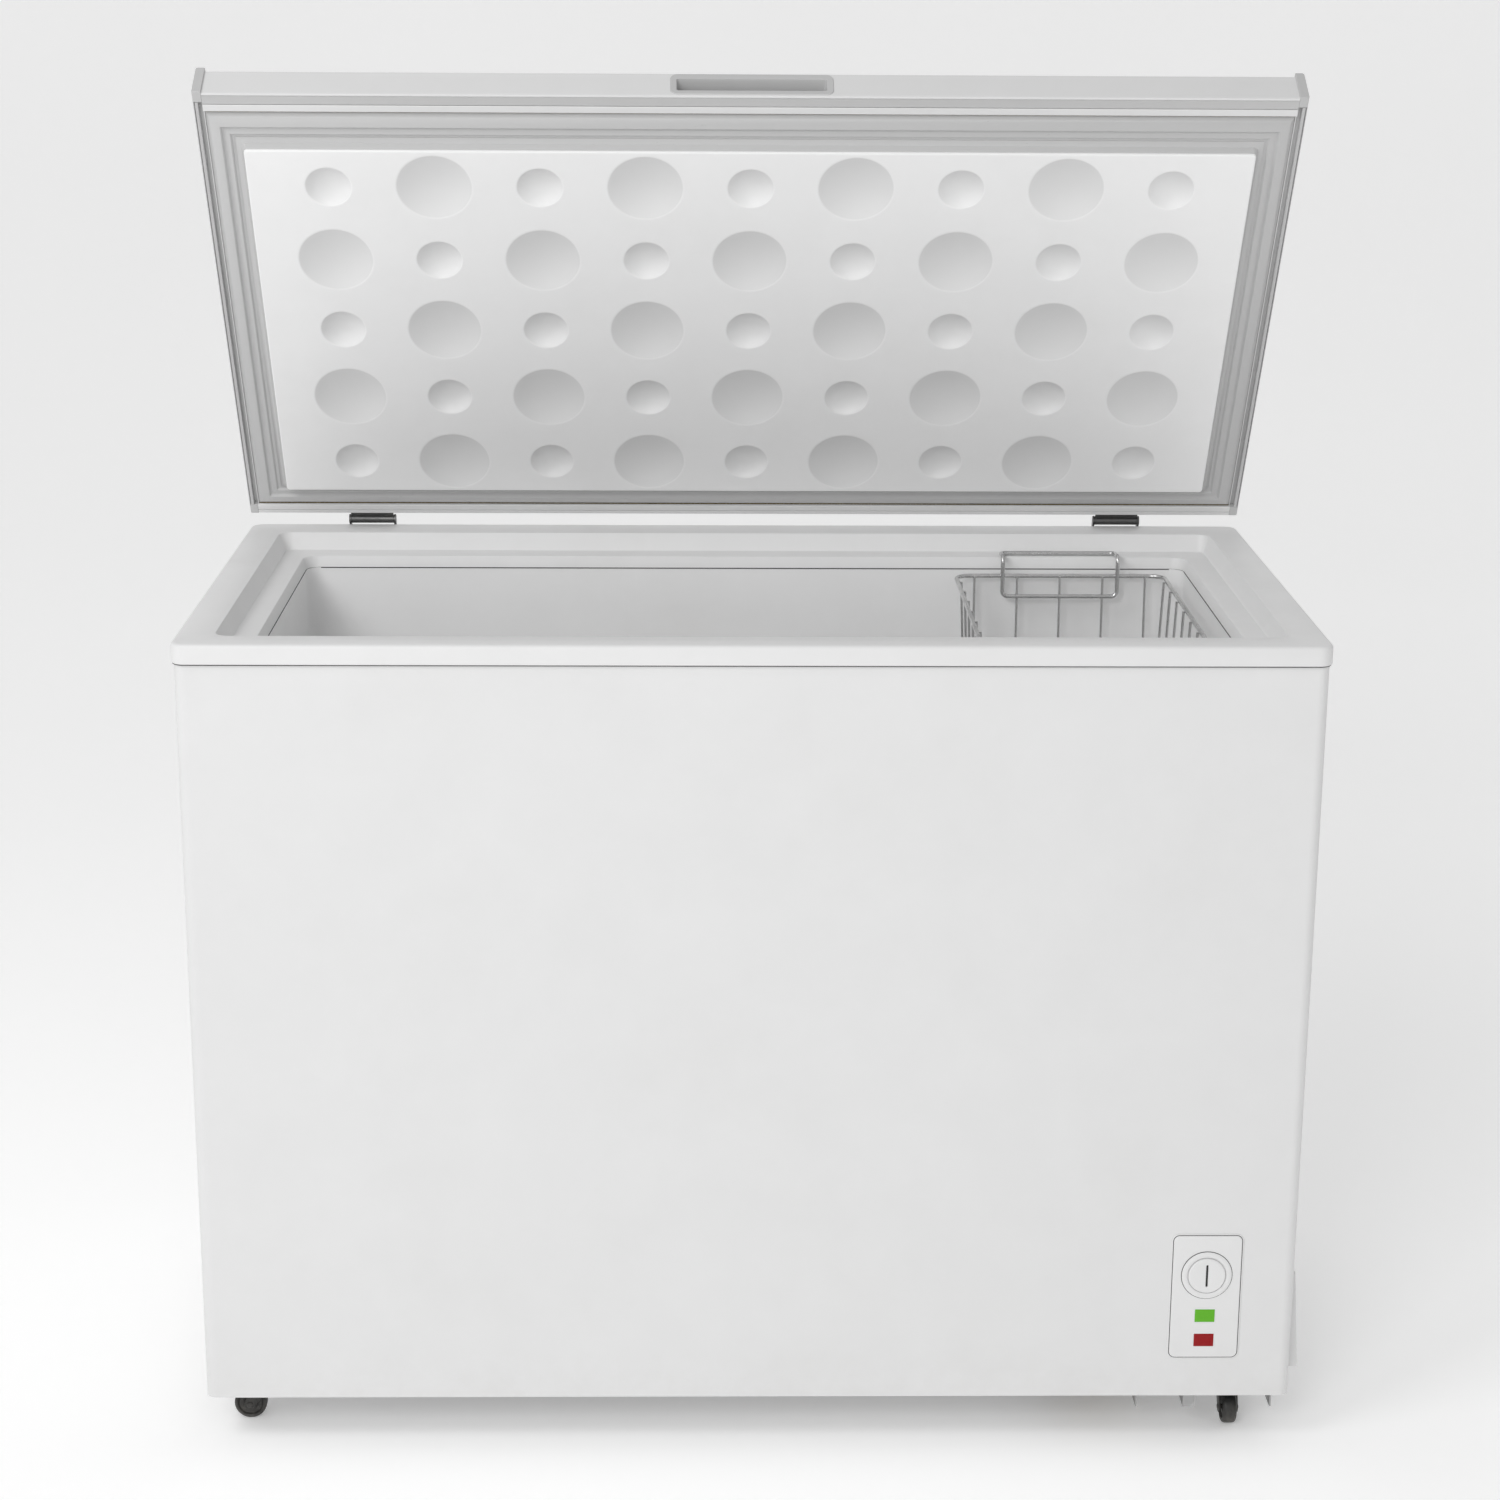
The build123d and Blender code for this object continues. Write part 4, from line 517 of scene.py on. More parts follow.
def finished(
    bm, name, body, slot, nodes=(), lid=False, face_out=True, sharp=35.0, wall=0.0,
    round_edges=0.0,
):
    """Makes the shape a piece in metres, in its place, with its finish and its body."""
    bmesh.ops.remove_doubles(bm, verts=bm.verts, dist=MERGE)
    if face_out:
        bmesh.ops.recalc_face_normals(bm, faces=bm.faces)
    if lid:
        bmesh.ops.transform(bm, matrix=SWING, verts=bm.verts)
    bmesh.ops.scale(bm, vec=(MM, MM, MM), verts=bm.verts)
    mesh = bpy.data.meshes.new(name)
    bm.to_mesh(mesh)
    bm.free()
    mesh.shade_smooth()
    mesh.set_sharp_from_angle(angle=math.radians(sharp))
    piece = bpy.data.objects.new(name, mesh)
    bpy.context.scene.collection.objects.link(piece)
    mesh.materials.append(FINISH[slot])
    if wall:
        solid = piece.modifiers.new("wall", "SOLIDIFY")
        solid.thickness, solid.offset = wall * MM, -1.0
    if round_edges:
        soft = piece.modifiers.new("round_edges", "BEVEL")
        soft.width, soft.segments = round_edges * MM, 2
        soft.limit_method, soft.angle_limit = "ANGLE", math.radians(40)
        soft.harden_normals = True
    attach(piece, body)
    if nodes:
        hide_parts(*nodes)


# The cabinet's rim

BAND, BAND_EDGE = 19.0, 3.5
LAND_SIDE, LAND_REAR = 36.0, 46.0
LAND_EDGE = 1.2
STEP_RUN, STEP_DROP = 6.0, 18.0
COLLAR_WALL, SKIRT = 2.5, 2.2
RIM_CORNER, MOUTH_CORNER = 14.0, 14.0
LIP_LAP = 1.0


def make_collar():
    """The moulded rim: a skirt over the wrap, a flat land, a slope, a ledge and a rolled lip."""
    cad = Room("collar")
    tank = Room("inner_tank")
    outer = cad.plan
    land = (cad.x0 + LAND_SIDE, cad.x1 - LAND_SIDE, cad.y0 + LAND_SIDE, cad.y1 - LAND_REAR)
    ledge = grown(land, -STEP_RUN)
    mouth = grown(tank.plan, -LIP_LAP)
    top, low = cad.z1, cad.z1 - STEP_DROP
    rings = [
        (grown(outer, -0.8), top - BAND, RIM_CORNER - 0.8),
        (outer, top - BAND + 0.8, RIM_CORNER),
    ]
    for turn in range(5):
        angle = math.radians(90 * turn / 4)
        inward = BAND_EDGE * (1 - math.cos(angle))
        rise = BAND_EDGE * math.sin(angle)
        rings.append((grown(outer, -inward), top - BAND_EDGE + rise, RIM_CORNER - inward))
    rings += [
        (grown(land, LAND_EDGE), top - 0.03, MOUTH_CORNER + LAND_EDGE),
        (grown(land, 0.3), top - 0.35, MOUTH_CORNER + 0.3),
        (grown(land, -0.4), top - 1.4, MOUTH_CORNER - 0.4),
        (grown(ledge, 0.5), low + 1.3, MOUTH_CORNER - STEP_RUN + 0.5),
        (grown(ledge, -0.6), low + 0.2, MOUTH_CORNER - STEP_RUN),
        (grown(mouth, 5.0), low, MOUTH_CORNER + 5.0),
        (grown(mouth, 3.2), low - 0.5, MOUTH_CORNER + 3.2),
        (grown(mouth, 2.2), low - 2.0, MOUTH_CORNER + 2.2),
        (mouth, cad.z0, MOUTH_CORNER),
        (grown(mouth, COLLAR_WALL), cad.z0, MOUTH_CORNER + COLLAR_WALL),
        (grown(mouth, 2 * COLLAR_WALL), low - COLLAR_WALL, MOUTH_CORNER + 2 * COLLAR_WALL),
        (grown(ledge, COLLAR_WALL), low - COLLAR_WALL, MOUTH_CORNER),
        (grown(land, COLLAR_WALL), top - COLLAR_WALL, MOUTH_CORNER + COLLAR_WALL),
        (grown(outer, -SKIRT), top - COLLAR_WALL, RIM_CORNER - SKIRT),
        (grown(outer, -SKIRT), top - BAND, RIM_CORNER - SKIRT),
    ]
    bm = bmesh.new()
    stacked(bm, rings, closed=True)
    finished(bm, "rim_collar", "cabinet", "white_moulding", ["collar"])


# Height of the dark rings of painted shade, and how far the inner one stands proud.
SHADOW_RING, SHADOW_RING_PROUD = 0.8, 0.35


def make_rim_shadow_rings():
    """Thin dark rings of painted shade, standing in for the shadow in two joints: one under the rim's skirt, one
    where the lip meets the tank.
    """
    cad, tank = Room("collar"), Room("inner_tank")
    outer = grown(cad.plan, -SKIRT - 0.8)
    inner = grown(tank.plan, -LIP_LAP)
    low = cad.z1 - BAND
    shadow_rings = [
        (outer, 2.0, RIM_CORNER - SKIRT, low - SHADOW_RING, low + 0.4),
        (inner, -SHADOW_RING_PROUD, MOUTH_CORNER, cad.z0 - SHADOW_RING, cad.z0 + 0.1),
    ]
    bm = bmesh.new()
    for edges, reach, corner, z0, z1 in shadow_rings:
        far = grown(edges, reach)
        near = grown(edges, 0.4)
        wide = corner + 1
        shadow_ring = [(far, z0, wide), (far, z1, wide), (near, z1, corner), (near, z0, corner)]
        stacked(bm, shadow_ring, closed=True)
    finished(bm, "rim_shadow_rings", "cabinet", "black_rubber")


# The lid's underside

DIMPLE_ROWS, DIMPLE_COLUMNS = 5, 9
DIMPLE_PITCH = Vector((102.3, 88.0))
LARGE_DIMPLE, SMALL_DIMPLE = (74.0, 7.0), (45.0, 9.0)
DIMPLE_RIM = 0.9
PLUG_SIDE, PLUG_FRONT, PLUG_REAR = 35.0, 58.0, 42.0
PLUG_ROUND, PLUG_CORNER = 1.4, 3.4


def plug_edges():
    """The raised panel's edges, set in from the lid's shell."""
    shell = Room("lid_shell", closed=True)
    return (
        shell.x0 + PLUG_SIDE, shell.x1 - PLUG_SIDE, shell.y0 + PLUG_FRONT, shell.y1 - PLUG_REAR,
    )


def make_lid_liner():
    """The formed panel under the lid: a raised plug with rounded edges and two sizes of dimple."""
    face_z = Room("lid_liner", closed=True).z0
    seat = Room("lid_gasket", closed=True).z1
    plug = plug_edges()
    bm = bmesh.new()
    # The mask for painted shade inside the dishes.
    dish_shade = bm.verts.layers.float.new("dish_shade")
    rings = [
        (grown(plug, 9.0), seat - 1.0, 6.0),
        (grown(plug, 5.0), seat - 2.6, 5.0),
        (grown(plug, 1.2), seat - 5.5, PLUG_CORNER),
        (plug, seat - 8.0, PLUG_CORNER),
        (plug, face_z + PLUG_ROUND, PLUG_CORNER),
        (grown(plug, -0.3 * PLUG_ROUND), face_z + 0.3 * PLUG_ROUND, PLUG_CORNER - 0.4),
        (grown(plug, -PLUG_ROUND), face_z, PLUG_CORNER - 0.9),
        (grown(plug, -PLUG_ROUND - 0.6), face_z, PLUG_CORNER - 1.2),
    ]
    stacked(bm, rings)
    middle = Vector(((plug[0] + plug[1]) / 2, (plug[2] + plug[3]) / 2))
    for row in range(DIMPLE_ROWS):
        for column in range(DIMPLE_COLUMNS):
            step = Vector((column - (DIMPLE_COLUMNS - 1) / 2, row - (DIMPLE_ROWS - 1) / 2))
            dimple(bm, dish_shade, middle + step * DIMPLE_PITCH, face_z, (row + column) % 2 == 1)
    bmesh.ops.remove_doubles(bm, verts=bm.verts, dist=MERGE)
    fill_level(bm, face_z, -1)
    largest_faces(bm, Vector((0, 0, -1)))
    finished(
        bm, "lid_liner_panel", "lid", "lid_panel", ["lid_liner"], lid=True, face_out=False,
        wall=1.5,
    )


def dimple(bm, dish_shade, centre, face_z, large):
    """A shallow round dish pressed upward, with a softly rounded rim, its inside marked for painted shade."""
    width, depth = LARGE_DIMPLE if large else SMALL_DIMPLE
    reach = width / 2
    radius = (reach**2 + depth**2) / (2 * depth)
    profile = [Vector((centre.x, centre.y, face_z + depth))]
    for share in (0.16, 0.34, 0.52, 0.68, 0.82, 0.92, 0.97):
        out = reach * share
        rise = math.sqrt(radius**2 - out**2) - (radius - depth)
        profile.append(Vector((centre.x + out, centre.y, face_z + rise)))
    profile.append(Vector((centre.x + reach + 0.2 * DIMPLE_RIM, centre.y, face_z + 0.12)))
    profile.append(Vector((centre.x + reach + DIMPLE_RIM, centre.y, face_z)))
    profile.append(Vector((centre.x + reach + DIMPLE_RIM + 0.5, centre.y, face_z)))
    turned(bm, profile, profile[0], (0, 0, 1), steps=56 if large else 40)
    # Marks the dish's inside for painted shade: full for a large dish, less for a small one.
    for vert in bm.verts:
        if vert.co.z > face_z + 0.3 and (vert.co.to_2d() - centre).length < reach:
            vert[dish_shade] = 1.0 if large else 0.7


GASKET_WIDTH = 26.0
RIDGE_AT, SECOND_RIDGE_AT = 13.0, 21.5


def make_gasket():
    """The soft seal: a sloping lip, a ridge, a valley, a second ridge, and a flap that carries its grey down over
    the panel's raised wall as painted shade.
    """
    cad = Room("lid_gasket", closed=True)
    base = Room("lid_front_trim", closed=True).z0
    first, second = RIDGE_AT, SECOND_RIDGE_AT
    steps = [
        (0.0, cad.z1), (0.0, base + 4.2), (1.0, base + 3.6), (2.6, base + 1.6),
        (4.6, base + 0.1), (first - 2.4, base - 1.7), (first - 0.8, cad.z0 + 0.1),
        (first, cad.z0), (first + 0.8, cad.z0 + 0.5), (first + 1.4, base - 0.6),
        (first + 3.2, base + 0.3), (second - 3.4, base + 0.1), (second - 1.2, base - 0.9),
        (second, base - 1.1), (second + 0.9, base - 0.5), (second + 1.8, base + 0.8),
        (GASKET_WIDTH, base + 1.4),
    ]
    face = Room("lid_liner", closed=True).z0
    plug = plug_edges()
    rings = [(grown(cad.plan, -inset), z, 0.0) for inset, z in steps]
    rings += [
        (grown(cad.plan, -GASKET_WIDTH - 0.3), base + 0.4, 0.0),
        # From here the rings lay the seal's grey over the panel's raised wall, where there is only shade: painted
        # shade.
        (grown(plug, 3.0), base - 1.4, 6.6),
        (grown(plug, 0.8), face + 2.6, 4.4),
        (grown(plug, 0.3), face + 2.3, 3.9),
        (grown(plug, 0.3), cad.z1, 3.9),
    ]
    bm = bmesh.new()
    stacked(bm, rings, closed=True)
    finished(bm, "lid_seal", "lid", "grey_gasket", ["lid_gasket"], lid=True)


# The lid's edges

CAP_LENGTH, CAP_GAP = 12.5, 0.25
TRIM_SHARP = 28.0


def end_trim_outline(side, x0, x1, z0, z1, grooved):
    """The end trim's section, from the shell's face outwards. Grooves run under its length only."""
    tall = [
        (x0, z1), (x1 - 2.2, z1), (x1 - 0.7, z1 - 0.6), (x1, z1 - 2.2), (x1, z0 + 1.6),
        (x1 - 0.5, z0 + 0.4), (x1 - 1.0, z0),
    ]
    under = [
        (x1 - 1.2, z0), (x1 - 1.2, z0 + 2.4), (x1 - 2.0, z0 + 2.4), (x1 - 2.0, z0),
        (x1 - 4.6, z0), (x1 - 5.0, z0 + 0.4), (x1 - 5.0, z0 + 6.0), (x0, z0 + 6.0),
    ]
    points = tall + (under if grooved else [(x0, z0)])
    return [(side * x, z) for x, z in points]


def make_end_trims():
    """An extruded rail along each end of the lid, with a moulded cap at each corner."""
    for side, name in ((-1, "left"), (1, "right")):
        cad = Room(f"lid_end_trim_{name}", closed=True)
        x0, x1 = sorted((abs(cad.x0), abs(cad.x1)))
        bm = bmesh.new()
        rail = end_trim_outline(side, x0, x1, cad.z0, cad.z1, True)
        start, end = cad.y0 + CAP_LENGTH, cad.y1 - CAP_LENGTH
        prism(bm, [(x, start, z) for x, z in rail], (0, end - start, 0))
        finished(
            bm, f"end_trim_{name}", "lid", "grey_trim", [f"lid_end_trim_{name}"], lid=True,
            sharp=TRIM_SHARP,
        )
        caps = (("front", cad.y0, start - CAP_GAP), ("rear", end + CAP_GAP, cad.y1))
        for corner, y0, y1 in caps:
            bm = bmesh.new()
            cap = end_trim_outline(side, x0, x1, cad.z0, cad.z1, False)
            prism(bm, [(x, y0, z) for x, z in cap], (0, y1 - y0, 0))
            finished(
                bm, f"corner_cap_{corner}_{name}", "lid", "grey_trim", lid=True,
                sharp=TRIM_SHARP, round_edges=0.7,
            )


FOLD, BAND_END, STRIP_END = 2.4, 12.6, 20.6


def make_edge_trims():
    """Under the lid's front edge a fold, a grey band and a pale strip, and a strip at the rear."""
    front = Room("lid_front_trim", closed=True)
    rear = Room("lid_rear_trim", closed=True)
    fold, groove, end = front.y0 + FOLD, front.y0 + BAND_END, front.y0 + STRIP_END
    top, low = front.z1, front.z0
    edge = [
        (front.y0, top), (front.y0, low + 1.0), (front.y0 + 0.3, low + 0.3),
        (front.y0 + 1.0, low), (fold - 0.4, low), (fold, low + 0.4), (fold, top),
    ]
    band = [
        (fold + 0.3, top), (fold + 0.3, low + 0.9), (fold + 0.9, low + 0.5),
        (groove - 0.8, low), (groove - 0.2, low + 0.6), (groove - 0.2, top),
    ]
    strip = [
        (groove + 0.3, top), (groove + 0.3, low + 0.5), (groove + 0.9, low),
        (end - 0.8, low), (end, low + 0.6), (end, top),
    ]
    back = [
        (rear.y0, rear.z1), (rear.y0, low + 0.6), (rear.y0 + 0.8, low), (rear.y1 - 5.8, low),
        (rear.y1 - 5.5, low + 1.2), (rear.y1 - 4.5, low + 1.2), (rear.y1 - 4.2, low),
        (rear.y1 - 0.8, low), (rear.y1, low + 0.8), (rear.y1, rear.z1),
    ]
    pieces = [
        ("front_fold", edge, "white_enamel", []),
        ("front_band", band, "grey_trim", ["lid_front_trim"]),
        ("front_strip", strip, "pale_trim", []),
        ("rear_strip", back, "pale_trim", ["lid_rear_trim"]),
    ]
    for name, outline, slot, nodes in pieces:
        bm = bmesh.new()
        prism(bm, [(front.x0, y, z) for y, z in outline], (front.x1 - front.x0, 0, 0))
        finished(bm, name, "lid", slot, nodes, lid=True, sharp=TRIM_SHARP)


POCKET_DEPTH, POCKET_HEIGHT = 22.0, 18.5
POCKET_SIDE, POCKET_FOOT = 6.5, 4.2


def make_handle():
    """The moulded pull in the lid's front: a flange with rounded corners round a finger pocket."""
    cad = Room("handle_recess", closed=True)
    shell = Room("lid_shell", closed=True)
    half, low, high = cad.x1, cad.z0 - 2.2, cad.z1 + 0.6
    outer = (-half, half, low, high)
    foot = cad.z0 + POCKET_FOOT
    pocket = (-half + POCKET_SIDE, half - POCKET_SIDE, foot, foot + POCKET_HEIGHT)
    proud = shell.y0 - cad.y0
    rings = [
        (outer, -2.0, 7.5),
        (outer, 0.3 * proud, 7.5),
        (grown(outer, -0.5), proud, 7.0),
        (grown(outer, -0.9), proud - 0.03, 6.6),
        (grown(pocket, 1.4), proud - 0.06, 3.0),
        (grown(pocket, 1.0), proud - 0.09, 2.8),
        (grown(pocket, 0.4), proud - 0.3, 2.4),
        (pocket, proud - 1.2, 2.0),
        (grown(pocket, -1.0), -POCKET_DEPTH + 4.0, 3.0),
        (grown(pocket, -2.0), -POCKET_DEPTH + 1.2, 3.0),
        (grown(pocket, -4.5), -POCKET_DEPTH, 3.0),
    ]
    bm = bmesh.new()
    stacked(bm, rings, cap_last=True)
    stand_up(bm, shell.y0)
    largest_faces(bm, Vector((0, -1, 0)))
    finished(
        bm, "handle_pull", "lid", "grey_trim", ["handle_recess"], lid=True, face_out=False,
        wall=1.2,
    )


# The control panel, drawn lying flat: heights are measured out from the cabinet's front

PLATE_SET = 1.5
DIAL_STEPS = 72
SLOT_HALF, SLOT_REACH = 1.1, 11.5
LENSES = ("green_lens", "red_lens")


def plate_height(wrap, panel):
    """How far the plate's face stands out from the cabinet's front."""
    return wrap.y0 - (panel.y0 + PLATE_SET)


def dial_centre(dial, height):
    return Vector(((dial.x0 + dial.x1) / 2, (dial.z0 + dial.z1) / 2, height))


def make_control_panel():
    """A plate in a thin groove, with a raised ring round the dial and bezels round the lamps."""
    cad = Room("control_panel")
    wrap = Room("outer_wrap")
    plate_z = plate_height(wrap, cad)
    outer = cad.front
    bm = bmesh.new()
    rings = [
        (outer, -0.2, 7.5),
        (outer, 0.5, 7.5),
        (grown(outer, -0.35), 0.9, 7.2),
        (grown(outer, -0.9), 0.9, 6.6),
        (grown(outer, -1.2), 0.45, 6.3),
        (grown(outer, -1.7), 0.45, 5.8),
        (grown(outer, -2.0), plate_z - 0.3, 5.6),
        (grown(outer, -2.4), plate_z, 5.2),
        (grown(outer, -2.8), plate_z, 4.8),
    ]
    stacked(bm, rings, cap_first=True, cap_last=True)
    collar = [
        (23.4, -0.4), (23.4, 0.35), (24.3, 0.45), (24.2, 0.8), (22.9, 1.3), (21.4, 1.5),
        (19.6, 1.5), (18.8, 1.1), (18.5, 0.4), (18.5, -0.4), (23.4, -0.4),
    ]
    turned_up(bm, collar, dial_centre(Room("thermostat_dial"), plate_z), DIAL_STEPS)
    for node in LENSES:
        window = Room(node).front
        bezel = [
            (grown(window, 1.1), plate_z - 0.3, 1.2),
            (grown(window, 0.8), plate_z + 0.2, 1.0),
            (grown(window, 0.35), plate_z + 0.2, 0.6),
            (grown(window, 0.15), plate_z - 0.5, 0.4),
        ]
        stacked(bm, bezel, closed=True)
    stand_up(bm, wrap.y0)
    finished(bm, "control_plate", "cabinet", "white_moulding", ["control_panel"])


def flat_band(bm, edges, width, z, corner):
    """A thin flat frame, its outer edge on edges."""
    inner = grown(edges, -width)
    low, inside = z - 0.3, corner - width
    rings = [(edges, low, corner), (edges, z, corner), (inner, z, inside), (inner, low, inside)]
    stacked(bm, rings, closed=True)


def make_panel_shadow_lines():
    """Dark strips of painted shade standing in for the shadow in the joints: round the plate, at the dial ring's
    foot and deep in the slot.
    """
    cad, dial, wrap = Room("control_panel"), Room("thermostat_dial"), Room("outer_wrap")
    centre = dial_centre(dial, plate_height(wrap, cad))
    bm = bmesh.new()
    flat_band(bm, grown(cad.front, -1.2), 0.55, 0.62, 6.3)
    foot = [(24.9, -0.2), (24.9, 0.07), (24.2, 0.07), (24.2, -0.2), (24.9, -0.2)]
    turned_up(bm, foot, centre, DIAL_STEPS)
    stand_up(bm, wrap.y0)
    finished(bm, "panel_shadow_lines", "cabinet", "black_rubber")
    # A dark plate of painted shade at the foot of the dial's slot.
    bm = bmesh.new()
    floor = wrap.y0 - dial.y0 - 1.5
    slot = (centre.x - 0.95, centre.x + 0.95, centre.y - 11.2, centre.y + 11.2)
    brick(bm, slot, floor - 0.3, floor, 0.1)
    stand_up(bm, wrap.y0)
    finished(bm, "dial_slot_shadow", "dial", "black_rubber")


def make_dial():
    """The knob: a disc with a rounded edge and a coin slot, standing just clear of the plate."""
    cad = Room("thermostat_dial")
    wrap = Room("outer_wrap")
    radius = (cad.x1 - cad.x0) / 2
    front = wrap.y0 - cad.y0
    centre = dial_centre(cad, 0)
    under = wrap.y0 - Room("control_panel").y0 - 1.4
    slot = (
        centre.x - SLOT_HALF, centre.x + SLOT_HALF, centre.y - SLOT_REACH, centre.y + SLOT_REACH,
    )
    bm = bmesh.new()
    profile = [
        (0.0, under), (radius - 0.8, under), (radius, under + 0.6), (radius, front - 1.2),
        (radius - 0.3, front - 0.5), (radius - 1.2, front), (radius - 1.6, front),
    ]
    turned_up(bm, profile, centre, DIAL_STEPS)
    groove = [
        (grown(slot, 0.6), front - 0.03, 1.4),
        (grown(slot, 0.25), front - 0.06, 1.2),
        (slot, front - 0.3, 1.0),
        (slot, front - 1.9, 1.0),
    ]
    stacked(bm, groove, cap_last=True)
    bmesh.ops.remove_doubles(bm, verts=bm.verts, dist=MERGE / 2)
    fill_level(bm, front, 1)
    stand_up(bm, wrap.y0)
    finished(bm, "dial_knob", "dial", "white_moulding", ["thermostat_dial"])


def make_lenses():
    """Two lamp windows with softly pillowed faces."""
    wrap = Room("outer_wrap")
    for node in LENSES:
        cad = Room(node)
        edges = cad.front
        front = wrap.y0 - cad.y0
        rings = [
            (edges, -1.5, 0.5),
            (edges, front - 0.7, 0.5),
            (grown(edges, -0.25), front - 0.35, 0.5),
            (grown(edges, -0.9), front - 0.1, 0.6),
            (grown(edges, -2.6), front, 0.8),
        ]
        bm = bmesh.new()
        stacked(bm, rings, cap_first=True, cap_last=True)
        stand_up(bm, wrap.y0)
        finished(bm, node.replace("_lens", "_lamp_window"), "cabinet", node, [node])


# Casters


def make_casters():
    """Twin-cheeked swivel forks with a flared top, and wheels with a tread, a rim and a hub."""
    joints = {joint["name"]: joint for joint in frame["joints"]}
    for name in ("front_left", "front_right", "rear_left", "rear_right"):
        swivel = Vector(joints["swivel_" + name]["pos_m"]) / MM
        roll = joints["roll_" + name]
        axle = Vector(roll["pos_m"]) / MM
        axis = Vector(roll["axis"])
        trail = (axle - swivel).to_2d().length
        turn = math.atan2(axis.y, axis.x) - math.pi / 2
        place = Matrix.Translation((swivel.x, swivel.y, 0)) @ Matrix.Rotation(turn, 4, "Z")
        make_wheel(name, place, trail, axle.z)
        make_fork(name, place, trail, axle.z)


WHEEL_HALF = 7.0
CHEEK_GAP, CHEEK, CHEEK_HALF = 0.6, 2.0, 11.0
FORK_TOP = 45.6
BOSS, AXLE, AXLE_STEPS = 6.0, 2.5, 20


def turned_on_axle(bm, profile, trail, radius, steps):
    """A profile of (distance from the axle, place along it) pairs spun round the axle."""
    points = [Vector((-trail, along, radius + out)) for out, along in profile]
    turned(bm, points, Vector((-trail, 0, radius)), (0, 1, 0), steps)


def make_wheel(name, place, trail, radius):
    half = WHEEL_HALF
    profile = [
        (3.0, -half + 1.6), (5.0, -half + 1.0), (6.4, -half + 1.4), (7.0, -half + 2.4),
        (11.4, -half + 2.2), (12.0, -half + 1.0), (12.6, -half + 0.3), (13.6, -half),
        (15.0, -half + 0.7), (15.8, -half + 2.0), (radius, -half + 3.6),
    ]
    mirrored = [(out, -along) for out, along in reversed(profile)]
    bm = bmesh.new()
    turned_on_axle(bm, profile + mirrored + profile[:1], trail, radius, 56)
    bmesh.ops.transform(bm, matrix=place, verts=bm.verts)
    node = "wheel_" + name
    finished(bm, "caster_" + node, node, "black_nylon", [node], sharp=40.0)


def make_fork(name, place, trail, radius):
    top = FORK_TOP
    inner = WHEEL_HALF + CHEEK_GAP
    clear = radius * 2 + 1.2
    bm = bmesh.new()
    crown = [
        (4.6, top - 3.2), (11.0, top - 3.2), (14.0, top - 2.2), (15.0, top - 1.0),
        (14.6, top), (4.6, top), (4.6, top - 3.2),
    ]
    turned_up(bm, crown, Vector((0, 0, 0)), 40)
    bmesh.ops.remove_doubles(bm, verts=bm.verts, dist=MERGE)
    hood = [
        ((-23.5, 14.5, -14.5, 14.5), top - 0.6, 9.0),
        ((-23.0, 14.0, -14.0, 14.0), top - 2.6, 9.0),
        ((-21.5, 12.6, -11.2, 11.2), top - 6.5, 7.0),
        ((-21.0, 12.0, -9.9, 9.9), clear, 6.0),
        ((-19.6, 10.6, -8.4, 8.4), clear, 5.0),
        ((-19.6, 10.6, -8.4, 8.4), top - 2.0, 5.0),
    ]
    stacked(bm, hood, closed=True)
    outline = [(CHEEK_HALF, top - 1.2), (-CHEEK_HALF, top - 1.2)]
    for step in range(9):
        angle = math.radians(180 + 22.5 * step)
        outline.append((-trail + BOSS * math.cos(angle), radius + BOSS * math.sin(angle)))
    outside = inner + CHEEK
    head = [(0.0, outside + 0.9), (2.2, outside + 0.9), (3.2, outside + 0.4), (3.4, outside - 0.2)]
    for side in (-1, 1):
        prism(bm, [(x, side * inner, z) for x, z in outline], (0, side * CHEEK, 0))
        rivet = [(out, side * along) for out, along in head]
        turned_on_axle(bm, rivet, trail, radius, AXLE_STEPS)
    turned_on_axle(bm, [(AXLE, -inner), (AXLE, inner)], trail, radius, AXLE_STEPS)
    bmesh.ops.transform(bm, matrix=place, verts=bm.verts)
    node = "fork_" + name
    finished(bm, "caster_" + node, node, "black_enamel", [node], round_edges=0.5)


# Finishes for the frame's own pieces


def finish_frame():
    """Every CAD piece takes its slot's finish."""
    for name, node in frame["nodes"].items():
        node.data.materials.clear()
        node.data.materials.append(FINISH[SLOT_OF[name]])


# Studio


def area_light(name, at, toward, size, power):
    lamp = bpy.data.lights.new(name, "AREA")
    lamp.shape, lamp.size, lamp.size_y = "RECTANGLE", size[0], size[1]
    lamp.energy = power
    holder = bpy.data.objects.new(name, lamp)
    bpy.context.scene.collection.objects.link(holder)
    holder.location = at
    holder.rotation_euler = (Vector(toward) - Vector(at)).to_track_quat("-Z", "Y").to_euler()


SKY, PAPER_GLOW = 0.47, 0.2
SWEEP_FRONT, SWEEP_REAR, SWEEP_HEIGHT, SWEEP_HALF, SWEEP_BEND = -30.0, 5.5, 8.0, 24.0, 2.2
WHITE = (1.0, 1.0, 1.0, 1.0)
# Each light's name, place, the point it faces, size and power
LIGHTS = [
    ("key_light", (-2.0, -1.7, 3.0), (0.0, 0.0, 0.7), (1.3, 1.3), 26.0),
    ("front_fill", (-1.4, -4.2, 3.0), (0.0, 0.0, 0.8), (1.6, 1.2), 47.0),
    ("low_fill", (-0.3, -4.6, 1.1), (0.0, 0.0, 0.8), (2.4, 1.0), 14.0),
]


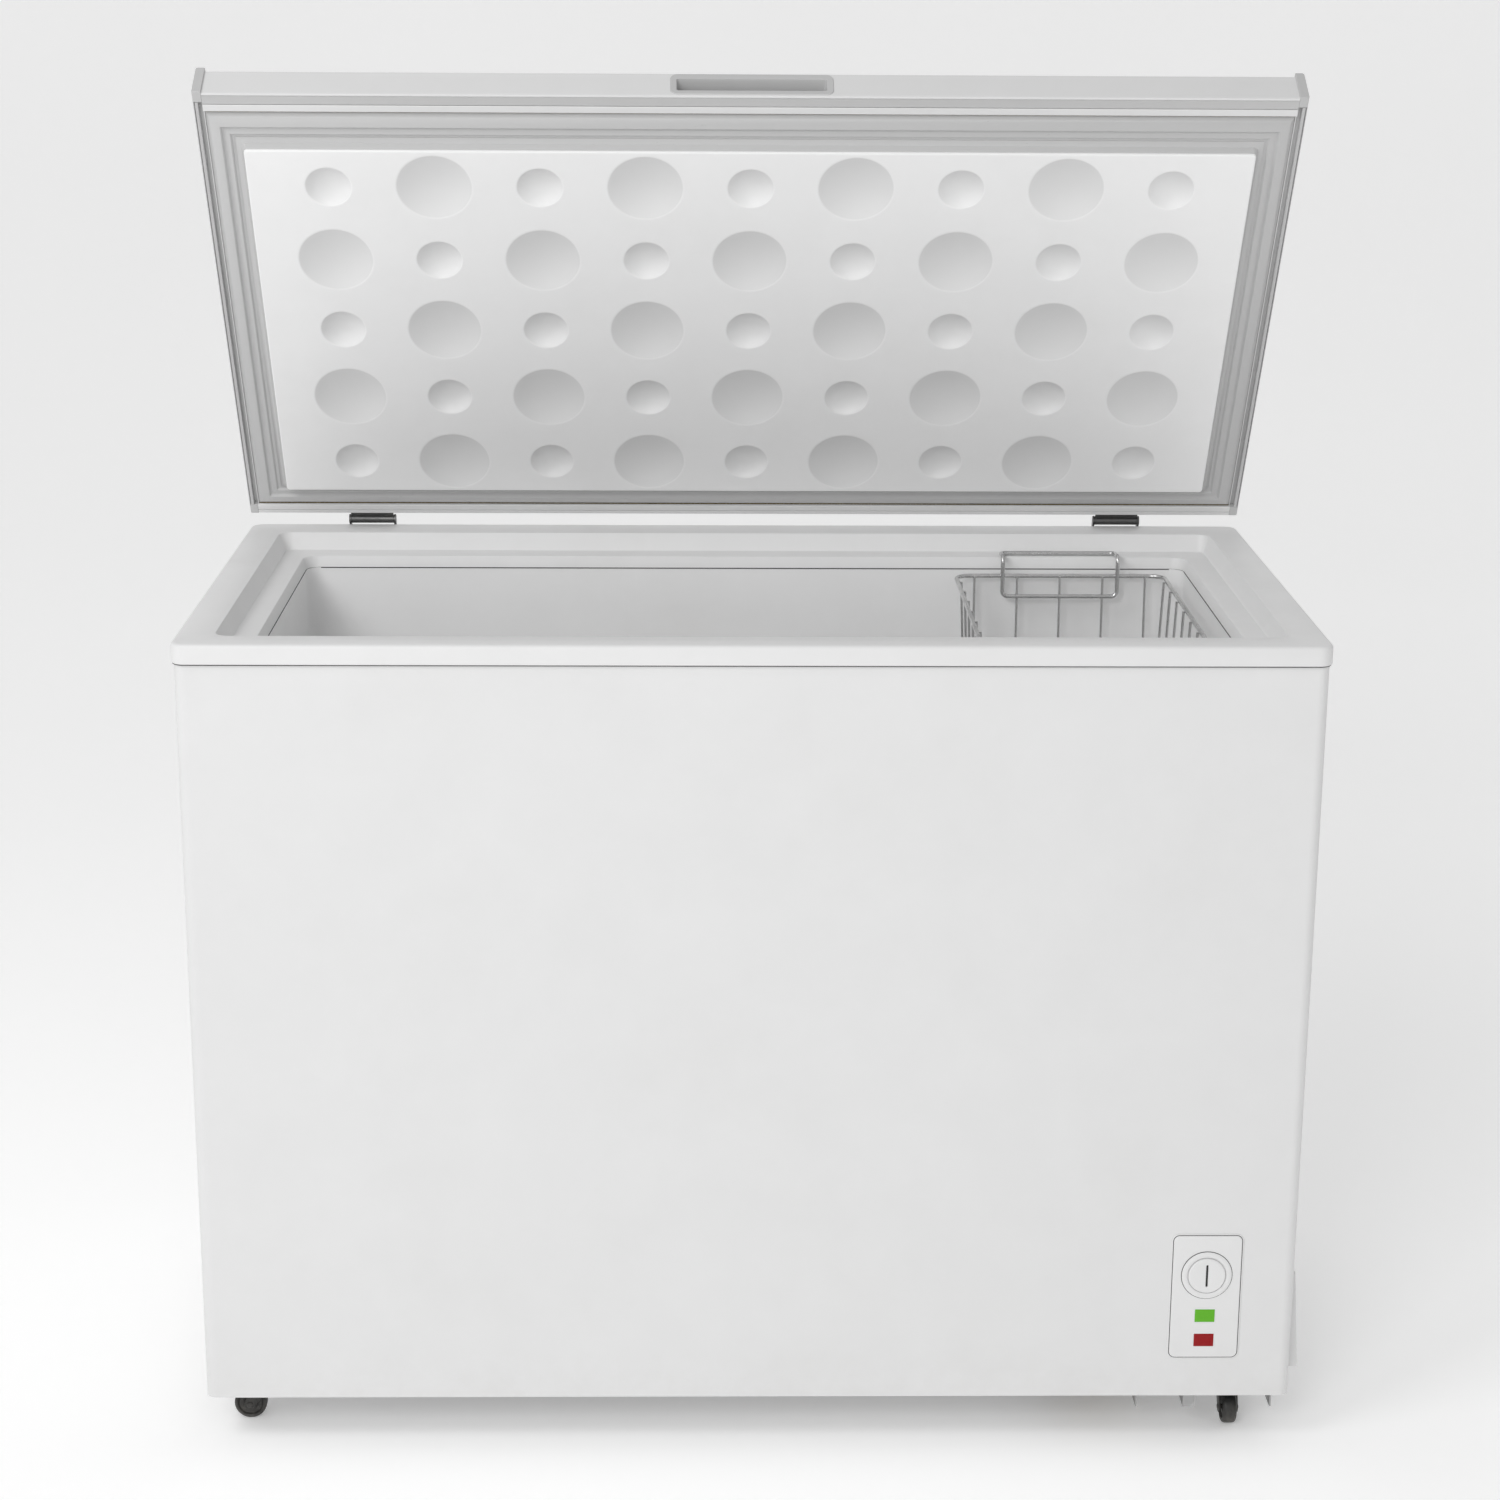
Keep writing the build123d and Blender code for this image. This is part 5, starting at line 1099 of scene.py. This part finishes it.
def make_studio():
    """A pale paper sweep, an even sky and soft lights from the left and the front."""
    bm = bmesh.new()
    side = ((SWEEP_FRONT, 0), (SWEEP_REAR, 0), (SWEEP_REAR, SWEEP_HEIGHT))
    verts = [bm.verts.new((-SWEEP_HALF, y, z)) for y, z in side]
    edges = [bm.edges.new(pair) for pair in zip(verts, verts[1:])]
    drawn = bmesh.ops.extrude_edge_only(bm, edges=edges)
    moved = [item for item in drawn["geom"] if isinstance(item, bmesh.types.BMVert)]
    bmesh.ops.translate(bm, verts=moved, vec=(2 * SWEEP_HALF, 0, 0))
    fold = [edge for edge in bm.edges if len(edge.link_faces) == 2]
    bmesh.ops.bevel(
        bm, geom=fold, offset=SWEEP_BEND, offset_type="OFFSET", segments=16,
        profile=0.5, affect="EDGES", material=-1,
    )
    bmesh.ops.recalc_face_normals(bm, faces=bm.faces)
    mesh = bpy.data.meshes.new("studio_sweep")
    bm.to_mesh(mesh)
    bm.free()
    mesh.shade_smooth()
    sweep = bpy.data.objects.new("studio_sweep", mesh)
    bpy.context.scene.collection.objects.link(sweep)
    material, tree, shader, place = start_material("studio_paper")
    paper = mixed(tree, noise(tree, place, 0.8), grey(248), grey(252))
    tree.links.new(paper, shader.inputs["Base Color"])
    shader.inputs["Roughness"].default_value = 0.9
    shader.inputs["Specular IOR Level"].default_value = 0.1
    shader.inputs["Emission Color"].default_value = WHITE
    shader.inputs["Emission Strength"].default_value = PAPER_GLOW
    mesh.materials.append(material)

    world = bpy.data.worlds.new("studio_sky")
    bpy.context.scene.world = world
    world.use_nodes = True
    sky = world.node_tree.nodes["Background"]
    sky.inputs["Color"].default_value = WHITE
    sky.inputs["Strength"].default_value = SKY
    for light in LIGHTS:
        area_light(*light)
    bpy.context.scene.view_settings.view_transform = "Standard"


aim_camera()
finish_frame()
make_collar()
make_rim_shadow_rings()
make_lid_liner()
make_gasket()
make_end_trims()
make_edge_trims()
make_handle()
make_control_panel()
make_panel_shadow_lines()
make_dial()
make_lenses()
make_casters()
make_studio()
